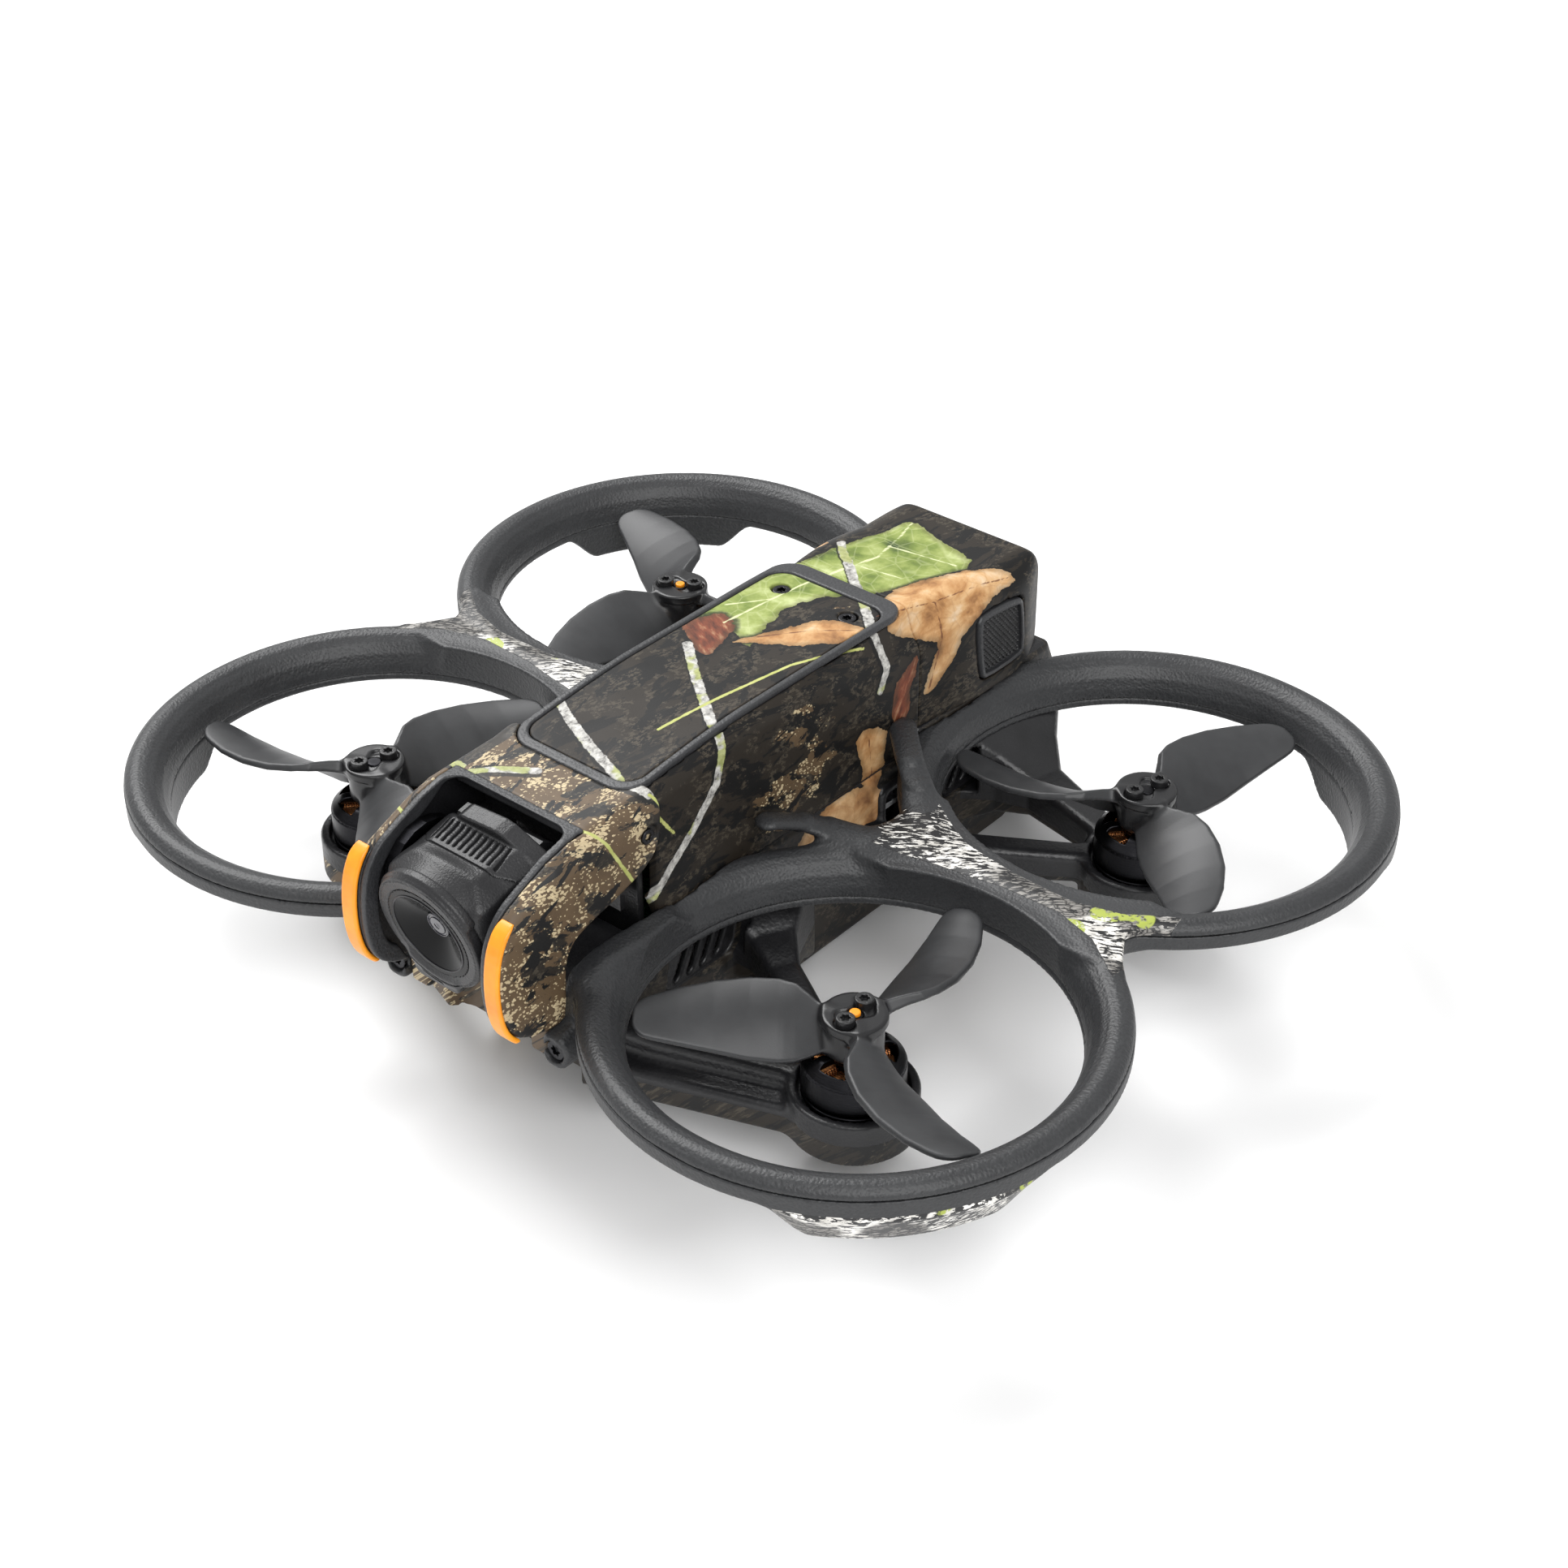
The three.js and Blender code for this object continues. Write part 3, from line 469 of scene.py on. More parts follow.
def speckles(g, at, colour):
    """Clusters of cream flecks on warm brown. The mark called flecks says where they are thick."""
    warped = g.vector("ADD", at, g.node("TexNoise", {"Vector": at, "Scale": 1.1}).outputs["Color"])
    thick = g.mark("flecks")
    patch = g.plus(g.noise(g.stretched(at, (13, 6, 7), -20), 1, 5, 0.6), thick)
    ground = g.mix(g.noise(at, 4, 4), (0.055, 0.035, 0.019), (0.15, 0.097, 0.05))
    colour = g.mix(g.fade(patch, 0.60, 0.62), colour, ground)
    size = g.scaled(g.noise(at, 6, 3), 1.9, g.scaled(thick, 0.6, -0.72))
    fleck = g.minus(size, g.cells(g.stretched(warped, (1.0, 0.62, 0.7), -25), 0.95))
    shown = g.both(g.fade(fleck, -0.02, 0.03), g.fade(patch, 0.57, 0.61))
    cream = g.mix(g.noise(at, 1.4, 2), CREAM, (0.34, 0.26, 0.15))
    colour = g.mix(shown, colour, cream)
    holes = g.fade(g.noise(g.stretched(at, (8, 3.2, 3.2), 18), 1, 6, 0.62, 0.4), 0.565, 0.575)
    return g.mix(holes, colour, NIGHT)


def leaves(g, at, colour):
    """A green leaf, tan oak leaves and a red-brown one. Their marks are distances to their outlines."""
    ragged = g.waver(at, 3.5, 5, 0.6, 3.2)
    net = g.fade(g.cells(g.stretched(at, (5.5, 4.0, 4.0), 35), 1, "DISTANCE_TO_EDGE"), 0.05, 0.0)
    for name in ("leaf_green", "leaf_tan", "leaf_red"):
        edge = g.plus(g.mark(name), ragged)
        if name == "leaf_green":
            tone = g.noise(at, 10, 5, 0.6)
            face = g.ramp(tone, (0.32, (0.035, 0.065, 0.015)), (0.45, (0.17, 0.23, 0.045)),
                          (0.56, (0.30, 0.36, 0.10)), (0.70, (0.52, 0.58, 0.27)))
            face = g.mix(g.both(net, 0.22), face, (0.62, 0.66, 0.36))
        elif name == "leaf_tan":
            tone = g.noise(at, 8, 5, 0.62, 0.4)
            face = g.ramp(tone, (0.30, (0.20, 0.085, 0.03)), (0.43, (0.46, 0.235, 0.09)),
                          (0.55, (0.62, 0.38, 0.18)), (0.70, (0.72, 0.56, 0.38)))
            face = g.mix(g.both(net, 0.25), face, (0.33, 0.16, 0.07))
        else:
            tone = g.noise(g.stretched(at, (5, 1.6, 1.6), 60), 1, 5, 0.6)
            face = g.ramp(tone, (0.35, (0.075, 0.022, 0.012)), (0.55, (0.21, 0.055, 0.025)),
                          (0.72, (0.46, 0.27, 0.15)))
        face = g.mix(g.both(g.fade(edge, -1.9, 0.0), 0.45), face, (0.06, 0.04, 0.018))
        shade = g.both(g.fade(edge, 1.4, 0.1), 0.85)
        colour = g.mix(shade, colour, NIGHT)
        colour = g.mix(g.fade(edge, 0.05, -0.05), colour, face)
    wavy = g.waver(at, 4, 3, 0.55, 0.9)
    pale = g.fade(g.plus(g.mark("vein_pale"), wavy), 0.2, -0.02)
    colour = g.mix(g.both(pale, 0.8), colour, (0.74, 0.77, 0.46))
    brown = g.fade(g.plus(g.mark("vein_dark"), wavy), 0.12, -0.06)
    return g.mix(g.both(brown, 0.85), colour, (0.13, 0.045, 0.022))


def twigs(g, at, colour):
    """Birch twigs with a dark shadow along one side, black knots and mossy stretches."""
    rough = g.waver(at, 1.6, 4, 0.65, 0.9)
    shadow = g.fade(g.plus(g.mark("twig_shadow"), rough), 0.25, -0.05)
    colour = g.mix(g.both(shadow, 0.92), colour, NIGHT)
    face = g.ramp(g.noise(at, 1.5, 5, 0.7), (0.34, (0.07, 0.065, 0.06)), (0.46, (0.36, 0.35, 0.33)),
                  (0.62, BIRCH), (0.8, (0.80, 0.79, 0.76)))
    mossy = g.fade(g.noise(at, 6.5, 2), 0.52, 0.58)
    moss = g.mix(g.noise(at, 0.9, 3), (0.14, 0.16, 0.03), (0.52, 0.56, 0.16))
    face = g.mix(g.both(mossy, 0.8), face, moss)
    colour = g.mix(g.fade(g.plus(g.mark("twig"), rough), 0.1, -0.08), colour, face)
    thin = g.fade(g.plus(g.mark("stem"), g.both(rough, 0.6)), 0.1, -0.06)
    return g.mix(thin, colour, g.mix(g.noise(at, 3, 2), MOSS, (0.62, 0.62, 0.26)))


def woodland(g):
    """The whole skin pattern, in the skin's own coordinates along, around and into the body."""
    at = g.node("CombineXYZ", {0: g.mark("along"), 1: g.mark("around"), 2: g.mark("depth")}).outputs[0]
    colour = undergrowth(g, at)
    colour = speckles(g, at, colour)
    colour = leaves(g, at, colour)
    return twigs(g, at, colour)


def skin_material():
    g = Graph("woodland_skin")
    weave = g.noise(g.place, 0.35, 2)
    rough = g.scaled(g.noise(g.place, 9, 2), 0.14, 0.46)
    return g.finish(woodland(g), rough, weave, 0.012, Specular_IOR_Level=0.3)


def frame_material():
    """Black moulded plastic, with the woodland skin where the mark called skin is negative."""
    g = Graph("frame_plastic")
    grain = leather(g, g.place, 0.6)
    plastic = g.ramp(g.noise(g.place, 12, 3), (0.3, (0.008, 0.008, 0.009)), (0.75, (0.020, 0.020, 0.022)))
    skin = g.fade(g.mark("skin"), 0.06, -0.06)
    colour = g.mix(skin, plastic, woodland(g))
    rough = g.blend(skin, g.scaled(g.noise(g.place, 6, 2), 0.2, 0.24), 0.52)
    height = g.both(grain, g.minus(1.0, skin))
    return g.finish(colour, rough, height, 0.05)


# ---- Metals, glass and the rest ----
def turned_metal(name, dark, light, roughness, size=0.5):
    """Metal with fine scratches and cloudy polish."""
    g = Graph(name)
    scratch = g.noise(g.stretched(g.place, (3, 3, 0.12)), size, 4, 0.7)
    colour = g.ramp(scratch, (0.3, dark), (0.7, light))
    rough = g.scaled(g.noise(g.place, 2.5, 3), 0.22, roughness - 0.1)
    return g.finish(colour, rough, scratch, 0.01, Metallic=1.0)


def copper_wire():
    """Enamelled winding wire, laid in close turns, with painted shade in the gaps between them."""
    g = Graph("copper_wire")
    turns = g.node("TexWave", {"Vector": g.place, "Scale": 1.1, "Distortion": 0.6, "Detail": 1.0},
                   bands_direction="Z").outputs["Fac"]
    # painted shade: the copper darkens to brown in the low gaps between the turns
    colour = g.ramp(turns, (0.2, (0.16, 0.05, 0.02)), (0.7, (0.78, 0.34, 0.13)))
    return g.finish(colour, 0.3, turns, 0.06, Metallic=1.0)


def clear_coat(name, dark, light):
    """A dark glass window with a coated sheen."""
    g = Graph(name)
    tint = g.noise(g.place, 3, 2)
    return g.finish(g.ramp(tint, (0.3, dark), (0.7, light)), 0.06, Coat_Weight=0.8)


def circuit_board():
    """Solder mask over copper tracks, with rows of small parts."""
    g = Graph("circuit_board")
    tracks = g.cells(g.stretched(g.place, (2.2, 1.1, 50)), 1, "DISTANCE_TO_EDGE")
    parts = g.cells(g.stretched(g.place, (1.0, 1.4, 50)), 3.0)
    colour = g.ramp(tracks, (0.04, (0.06, 0.20, 0.10)), (0.10, (0.008, 0.055, 0.028)))
    colour = g.mix(g.fade(parts, 0.24, 0.2), colour, (0.02, 0.02, 0.022))
    return g.finish(colour, 0.35, g.fade(parts, 0.3, 0.2), 0.3)


def cell_wrap():
    """The shrink wrap round the battery's cells, with soft creases and painted shade in their hollows."""
    g = Graph("cell_wrap")
    creases = g.noise(g.stretched(g.place, (2, 9, 9)), 1, 3)
    # painted shade: the blue darkens in the low crease hollows
    colour = g.ramp(creases, (0.3, (0.012, 0.035, 0.12)), (0.7, (0.03, 0.085, 0.26)))
    return g.finish(colour, 0.25, creases, 0.2)


def orange_plastic():
    """Bright satin orange, with a cloudy tone."""
    g = Graph("orange_plastic")
    cloud = g.noise(g.place, 6, 3)
    grain = g.noise(g.place, 0.3, 2)
    colour = g.ramp(cloud, (0.3, (0.90, 0.27, 0.006)), (0.7, (1.0, 0.385, 0.016)))
    return g.finish(colour, g.scaled(cloud, 0.12, 0.28), grain, 0.008)


GUARD = guard_plastic()
CHARCOAL = moulded("charcoal_plastic", (0.018, 0.0185, 0.020), (0.036, 0.037, 0.040), 0.42, 0.5, 0.07)
SKIN = skin_material()
FRAME = frame_material()
BLADE = blade_plastic()
BLACK = moulded("black_plastic", (0.006, 0.006, 0.0065), (0.014, 0.014, 0.015), 0.36)
CAMERA_BLACK = moulded("camera_plastic", (0.011, 0.011, 0.012), (0.023, 0.023, 0.0245), 0.36, 0.36, 0.05,
                       0.4)
GLOSSY = moulded("glossy_black", (0.001, 0.001, 0.0012), (0.003, 0.003, 0.0034), 0.22, 0.5, 0.0, 0.16)
RUBBER = moulded("rubber", (0.006, 0.006, 0.006), (0.014, 0.014, 0.014), 0.7, 0.8, 0.05)
MOTOR_BLACK = turned_metal("anodised_black", (0.014, 0.014, 0.016), (0.030, 0.030, 0.033), 0.34)
STEEL = turned_metal("blackened_steel", (0.025, 0.025, 0.027), (0.06, 0.06, 0.064), 0.3)
ALUMINIUM = turned_metal("aluminium", (0.42, 0.43, 0.44), (0.64, 0.65, 0.66), 0.36)
COPPER = copper_wire()
GLASS = clear_coat("lens_glass", (0.004, 0.005, 0.010), (0.016, 0.014, 0.030))
BOARD = circuit_board()
CELL = cell_wrap()
ORANGE = orange_plastic()


# ---- Where the skin's leaves and twigs lie ----
# Each place is how far along the body it is, then how far round from the middle of the top.
GREEN_LEAF = [
    (28, -13), (53, -12), (59, -10), (56, -1), (52, 13.5), (42, 9.8), (28, 7.7), (15, -3.4), (0, 0),
    (-5, 2.5), (1, -8), (-7, -14.4), (12, -14.2),
]
TAN_LEAVES = [
    [(27, 7), (42, 10), (51, 14.4), (58, 24), (50, 24), (45, 25.7), (39, 28), (36, 33.5), (28, 38),
     (30, 31), (33, 27.5), (24, 20), (19, 16)],
    [(-4.6, -3.2), (6.5, 2.7), (13, 4.7), (15.3, 13), (15.5, 16), (4.6, 10.6), (-1.5, 1.8)],
    [(7.8, 34.6), (17.4, 37.6), (17.6, 43.7), (16, 50), (12, 52.5), (10.5, 45)],
    [(-10, 50), (6, 46), (18, 52), (16, 62), (2, 58), (-8, 64)],
]
RED_LEAVES = [
    [(27.5, 26), (25, 32), (24, 39.7), (19, 39.6), (19.6, 30.4), (23.5, 27.6)],
    [(-5, -14), (2.6, -11), (1.6, -6), (-4, -4), (-12, -2), (-8.6, -9.4)],
]
TWIGS = [
    [(40, -14), (34, -6), (28, 0.5), (25, 4.5), (16, 14), (17, 20), (17.5, 25), (15.6, 29)],
    [(-10, -8), (-17, 0), (-24, 9), (-27, 13), (-28, 17), (-30.6, 26), (-37, 32.6), (-43, 37.4), (-47, 41)],
    [(-38, -14.7), (-44, -0.6), (-48.7, 12.7), (-47.5, 19.4)],
    [(-64, -16), (-60, -10.5), (-54.7, -2.8)],
]
STEMS = [
    [(-33.7, 6.3), (-18, 8.7), (-3.4, 11), (12.5, 17.4)],
    [(-65, -11.6), (-64.3, -2), (-64.2, 7.7), (-63.6, 15), (-59, 26), (-54, 35)],
    [(-47.5, 19.4), (-45.8, 25), (-47.6, 37.5)],
    [(-45.8, 25), (-41.9, 30.5)],
]
PALE_VEINS = [
    [(58, -9), (40, -3.5), (20, -6), (0, -8)],
    [(46, -5.5), (49, 9)],
    [(34, -4), (36, 6)],
    [(26, -5), (24, -12.5)],
    [(12, -7), (5, -12)],
]
DARK_VEINS = [
    [(20, 12), (34, 17), (48, 20), (57, 23)],
    [(34, 17), (33, 26), (30, 36)],
    [(0, 0), (8, 6), (15, 14)],
    [(12, 36), (14, 51)],
]


def trail(u, v, path, radius):
    """Signed distance to a rounded stroke along an open path."""
    gaps = []
    for (u0, v0), (u1, v1) in zip(path, path[1:]):
        eu, ev = u1 - u0, v1 - v0
        share = np.clip(((u - u0) * eu + (v - v0) * ev) / (eu * eu + ev * ev), 0, 1)
        gaps.append(norm(u - u0 - share * eu, v - v0 - share * ev))
    return least(*gaps) - radius


def skin_marks(u, v):
    """The distances that the skin material reads. The right side repeats the left one's lower part."""
    other = v < -16
    u, v = np.where(other, u + 14, u), np.where(other, -v, v)
    return {
        "leaf_green": outline(u, v, softened(GREEN_LEAF, 1)),
        "leaf_tan": least(*[outline(u, v, softened(leaf, 1)) for leaf in TAN_LEAVES]),
        "leaf_red": least(*[outline(u, v, softened(leaf, 1)) for leaf in RED_LEAVES]),
        "vein_pale": least(*[trail(u, v, vein, 0.14) for vein in PALE_VEINS]),
        "vein_dark": least(*[trail(u, v, vein, 0.10) for vein in DARK_VEINS]),
        "twig": least(*[trail(u, v, twig, 0.95) for twig in TWIGS]),
        "twig_shadow": least(*[trail(u + 0.95, v - 0.6, twig, 0.85) for twig in TWIGS]),
        "stem": least(*[trail(u, v, stem, 0.3) for stem in STEMS]),
        "flecks": 0.26 * ease((-u - 44) / 8) * ease((62 - v) / 8)
        + 0.2 * ease(1.2 - np.abs(u + 8) / 14) * ease((v - 18) / 6) * ease((48 - v) / 6) - 0.09,
    }


def store(piece, name, value):
    layer = piece.data.attributes.new(name, "FLOAT", "POINT")
    layer.data.foreach_set("value", np.ascontiguousarray(value, dtype=np.float32))


def paint(piece, spots, under=False, skin=None):
    """Stores the skin's coordinates and distances on a piece. Skin is negative where the skin lies."""
    x, y, z = spots.T
    drop = TOP_Z - z
    fold = 1.0 if under else np.sign(x) * ease((np.abs(x) - 8) / 6)
    around = x + fold * drop
    side = np.abs(fold)
    depth = ease((y - 66) / 6) * (side * x + (1 - side) * drop)  # keeps the rear faces from streaking
    values = {"along": y, "around": around, "depth": depth, **skin_marks(y, around)}
    if skin is not None:
        values["skin"] = skin
    for name, value in values.items():
        store(piece, name, value)


# ---- Propeller ducts ----
SKIRT_EDGE = 32.0  # degrees from the middle of a skirt to its end
SKIRT_BLEND = 12.0
SKIRT_ANGLE = 40.0
BARK_PLAN = [
    (31, -8.5), (46, -4.1), (58.5, -2.2), (71, -1.9), (80, -4.6), (88.5, -10.8),
    (88.5, 10.8), (80, 4.6), (71, 2.2), (58.5, 2.6), (46, 4.6), (31, 12.5),
]
WEB = [(33.5, -10.0), (31.5, 0.0), (34.5, 13.0), (86.5, 11.5), (82.5, 1.0), (88.0, -8.0)]
BRACKETS = [
    [(19.6, -19.4, 42.2), (21.6, -13.0, 39.6), (24.6, -9.0, 37.7), (31, -6.2, 36.6), (38, 0, 35.2)],
    [(18.6, 20.4, 42.3), (25.2, 14.2, 41.0), (29.2, 11.5, 38.8), (33.4, 7.6, 36.2), (38, 0, 35.2)],
]
NECK = [
    (-44.0, 32.0), (-46.0, 35.0), (-55.9, 36.2), (-63.1, 36.8), (-68.7, 36.2), (-70.4, 32.2),
    (-71.5, 28.0), (-75.4, 26.6), (-75.4, 22.4), (-68.0, 22.4), (-60.0, 30.0),
]
LUG_X = 19.6  # middle of the front screw lug
LUG_Z = 24.6
LUG_FACE_Y = -75.9
PARTING = 0.1  # gap between a guard's halves


def motor_distance(x, y, motor_y):
    return norm(x - MOTOR_X, y - motor_y)


def nearest_motor(x, y):
    return np.minimum(motor_distance(x, y, -MOTOR_Y), motor_distance(x, y, MOTOR_Y))


def bearing_from(x, y, motor_y):
    """Degrees round a duct from straight outward, growing toward the craft's near end."""
    return np.degrees(np.arctan2((y - motor_y) * np.sign(motor_y), x - MOTOR_X))


def duct(x, y, z, motor_y):
    """One duct ring, whose outer corner reaches down as a skirt."""
    r = motor_distance(x, y, motor_y)
    bearing = bearing_from(x, y, motor_y)
    deep = ease((SKIRT_EDGE - np.abs(bearing - SKIRT_ANGLE)) / SKIRT_BLEND)
    section = [
        (46.6, 31.8 - 1.6 * deep), (46.6, 34.5), (46.2, 35.3), (45.3, 36.0), (44.2, 36.25), (42.8, 35.9),
        (41.4, 34.9), (40.1, 33.1), (39.3, 30.9), (38.95, 28.8), (38.95, 28.0 - 6.0 * deep),
        (39.5, 27.7 - 6.1 * deep), (45.2 - 2.4 * deep, 31.0 - 7.6 * deep),
    ]
    return outline(r, z, section, 0.35)


def neck(x, y, z):
    """The neck that runs down to the screw lug in front."""
    side = outline(y, z, NECK, 0.8)
    arm = slab(side, x, 17.35, 21.6, 1.2)
    from_lug = norm(x - LUG_X, z - LUG_Z)
    boss = slab(from_lug - 3.1, y, LUG_FACE_Y, -66.0, 0.5)
    body = union(arm, boss, 1.5)
    return carve(body, slab(from_lug - 2.25, y, -80, LUG_FACE_Y + 0.9, 0.1))


def guard(x, y, z):
    """The two ducts of the left side with their web, side bracket and front neck."""
    body = union(duct(x, y, z, -MOTOR_Y), duct(x, y, z, MOTOR_Y), 1.0)
    plate = slab(outline(x, y, WEB, 0.5), z, 31.0, 36.2, 0.7)
    body = union(body, plate, 1.6)
    for path in BRACKETS:
        body = union(body, ribbon(x, y, z, path, 2.7, 1.15), 5.0)
    body = union(body, neck(x, y, z), 4.5)
    body = carve(body, nearest_motor(x, y) - THROAT + 0.2)
    return overlap(body, 17.3 - x)


def guard_parting(x, y, z):
    """Negative where the guard belongs to its upper half."""
    r = nearest_motor(x, y)
    seam = 28.9 + 0.68 * (np.minimum(r, 46.9) - 38.7) - z
    return union(seam, neck(x, y, z) - 1.2)


def bark_area(x, y, z):
    """Negative where the guard wears bark: the web between the ducts, and the outer face of each skirt."""
    r = nearest_motor(x, y)
    prongs = least(*[ribbon(x, y, z, path[:-1], 3.4, 2.6) for path in BRACKETS])
    web = most(outline(x, y, BARK_PLAN), 34.6 - z, -prongs)
    bearing = bearing_from(x, y, np.where(y > 0, MOTOR_Y, -MOTOR_Y))
    outer = 42.2 + 0.56 * (z - 23.4) - r
    skirt = most((np.abs(bearing - SKIRT_ANGLE) - 27) * 0.75, outer, z - 31.2)
    return np.minimum(web, skirt)


def guard_half(x, y, z, way):
    """The part of the guard above its parting when way is 1, and below it when way is -1."""
    return overlap(guard(x, y, z), way * guard_parting(x, y, z) + PARTING / 2, 0.45)


def guards():
    for level, way, bottom, top in (("upper", 1, 21, 44), ("lower", -1, 20, 36)):
        shape = sculpt(partial(guard_half, way=way), (17, -91, bottom), (107, 91, top), 0.44)
        skin = bark_area(*shape[0].T)
        for side, turned in (("left", shape), ("right", mirrored(shape))):
            node = f"guard_{side}_{level}"
            piece = add(f"{node}_skin", turned, "airframe", GUARD, "guard_plastic", node)
            paint(piece, turned[0], True, skin)


# ---- Screws ----
def screw_head(u, v, out, radius, face):
    """A round head with a six-pointed socket, whose face looks outward."""
    r, turn = norm(u, v), np.arctan2(v, u)
    body = slab(r - radius, out, face - 1.6, face, 0.2)
    socket = r - radius * (0.48 + 0.08 * np.cos(6 * turn))
    return carve(body, overlap(socket, face - 0.8 - out))


def fasten(node, shape, sign):
    """Adds a screw in place of its node, turned over for the right side."""
    turned = shape if sign > 0 else mirrored(shape)
    add(f"{node}_head", turned, "airframe", STEEL, "screw_steel", node)


def screws():
    for side, sign in (("left", 1), ("right", -1)):
        low, high = (np.array(corner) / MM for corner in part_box(f"cover_screw_{side}"))
        x0, y0 = (low + high)[:2] / 2
        top = high[2] - 0.25
        shape = sculpt(lambda x, y, z: screw_head(x - x0, y - y0, z, 1.75, top),
                       (x0 - 2, y0 - 2, top - 2), (x0 + 2, y0 + 2, top), 0.1)
        fasten(f"cover_screw_{side}", shape, 1)
        low, high = (np.array(corner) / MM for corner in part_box(f"cheek_screw_{side}"))
        y0, z0 = (low + high)[1:] / 2
        face = max(abs(low[0]), abs(high[0])) - 0.1
        shape = sculpt(lambda x, y, z: screw_head(y - y0, z - z0, x, 1.5, face),
                       (face - 2, y0 - 2, z0 - 2), (face, y0 + 2, z0 + 2), 0.1)
        fasten(f"cheek_screw_{side}", shape, sign)
        shape = sculpt(lambda x, y, z: screw_head(x - LUG_X, z - LUG_Z, -y, 1.95, -LUG_FACE_Y - 0.15),
                       (LUG_X - 2.2, LUG_FACE_Y, LUG_Z - 2.2),
                       (LUG_X + 2.2, LUG_FACE_Y + 2, LUG_Z + 2.2), 0.1)
        fasten(f"guard_screw_{side}", shape, sign)


# ---- Lower frame ----
TRAY_SIDE = [
    (-62.2, 9.8), (-55.6, 3.6), (-47.6, 1.2), (57.8, 1.2), (69.2, 4.8), (73.1, 14.2), (73.1, 29.7),
    (70.4, 35.8), (28.9, 35.8), (28.9, 32.5), (-53.6, 32.5), (-59.0, 27.2), (-63.8, 21.8),
]
ARMS = [
    [(15.5, -60, 6, 10, 21.5), (26, -57, 4.6, 12.5, 20), (50, -47.5, 4.2, 12.5, 18.9),
     (59, -43.7, 4.2, 12.5, 18.5)],
    [(15.5, -63.5, 8, 9.5, 17), (26, -60.4, 7, 9.5, 16), (59, -48.4, 6.5, 9.5, 15.6)],
    [(15.5, -19, 24, 6, 29), (19, -20, 17, 9, 26), (24, -23.5, 9, 11.5, 21.5), (30, -27.5, 6.2, 12.3, 19.6),
     (59, -43.7, 5.2, 12.5, 18.5)],
    [(15.5, 14, 13, 8, 24), (21, 18, 8.5, 11, 21), (28, 22.5, 6.2, 12, 19.6), (59, 43.7, 5.2, 12.5, 18.5)],
    [(15.5, 54, 32, 6, 32), (20, 54, 26, 8, 29), (25, 53.2, 16, 11, 24.5), (31, 51.5, 8.5, 12, 20.8),
     (59, 43.7, 5.2, 12.5, 18.5)],
]
BARK_TOP_Z = 14.0  # below this, the arms and motor pads wear the skin


def arms(x, y, z):
    """The arms and the motor pads at their ends, each pad with a seam round it and a seat for its motor."""
    r = nearest_motor(x, y)
    body = slab(r - 11.6, z, 9.4, 18.2, 0.7)
    body = carve(body, slab(r - 12.2, z, 13.9, 14.2, 0.05))
    body = union(body, slab(r - 10.9, z, 9.4, 18.0, 0.7))
    for stations in ARMS:
        body = union(body, beam(x, y, z, stations, 1.5), 1.6)
    return carve(body, slab(r - 9.9, z, PAD_TOP_Z, 40, 0.3))


def side_details(body, x, y, z):
    """Vent grilles in their recesses, and the port recess."""
    for start in (-44.5, 36.5):
        lean = (z - 20) * 0.5
        middle = start + 9.5
        recess = rectangle(y - middle - lean * 0.4, z - 21, 9.5, 5.2, 3.0)
        body = carve(body, slab(recess, x, 16.2, 20, 0.3))
        for i in range(4):
            slot = rectangle(y - start - 4.4 - 3.6 * i - lean, z - 21, 0.9, 4.0, 0.8)
            body = carve(body, slab(slot, x, 13.0, 20, 0.2))
    boss = slab(rectangle(y - 19.6, z - 23, 4.8, 7.2, 2.4), x, 14, 18.4, 0.9)
    body = union(body, boss, 1.0)
    return carve(body, slab(rectangle(y - 19.6, z - 23.1, 3.1, 5.4, 1.6), x, 14.2, 22, 0.4))


def lower_frame(x, y, z):
    across = np.abs(x)
    tray = slab(outline(y, z, TRAY_SIDE, 1.2), across, -BODY_SIDE, BODY_SIDE, 1.6)
    half = union(arms(across, y, z), block(across, y, z, (12.6, -75, 21), (17, -54, 27.4), 0.8), 0.8)
    body = union(tray, half, 1.5)
    body = side_details(body, across, y, z)
    hollow = block(x, y, z, (-15, -52, 5), (15, 66, 50), 1.5)
    body = carve(body, hollow)
    for lens_y in (-35, 35):
        body = carve(body, slab(norm(x, y - lens_y) - 4.3, z, -1, 7, 0.3))
    return carve(body, block(x, y, z, (-5.3, -4.3, -1), (5.3, 4.3, 7), 0.4))


def frames():
    shape = sculpt(lower_frame, (-71, -76, 0), (71, 75, 38), 0.55)
    piece = add("lower_frame_skin", shape, "airframe", FRAME, "frame_plastic", "lower_frame")
    x, y, z = shape[0].T
    across = np.abs(x)
    tray = np.maximum(across - 17.6, 16.5 - across)
    ends = np.maximum(66 - np.abs(y - 4), across - 17.6)
    paint(piece, shape[0], True, least(tray, ends, z - BARK_TOP_Z))


# ---- Fuselage shell, cover and rim ----
HEAD_JOINT_Y = 27.4  # where the battery's head meets the shell


def roof(y):
    front = np.maximum(0, -20 - y) / 31
    rear = np.maximum(0, y - 12)
    return TOP_Z - 2.6 * front**1.5 - 0.0022 * np.minimum(rear, 40) ** 2


def hull(x, z, half, top, radius):
    """A cross-section with straight sides and rounded shoulders."""
    q = np.abs(x) - half + radius
    h = z - top + radius
    return norm(np.maximum(q, 0), np.maximum(h, 0)) + np.minimum(np.maximum(q, h), 0) - radius


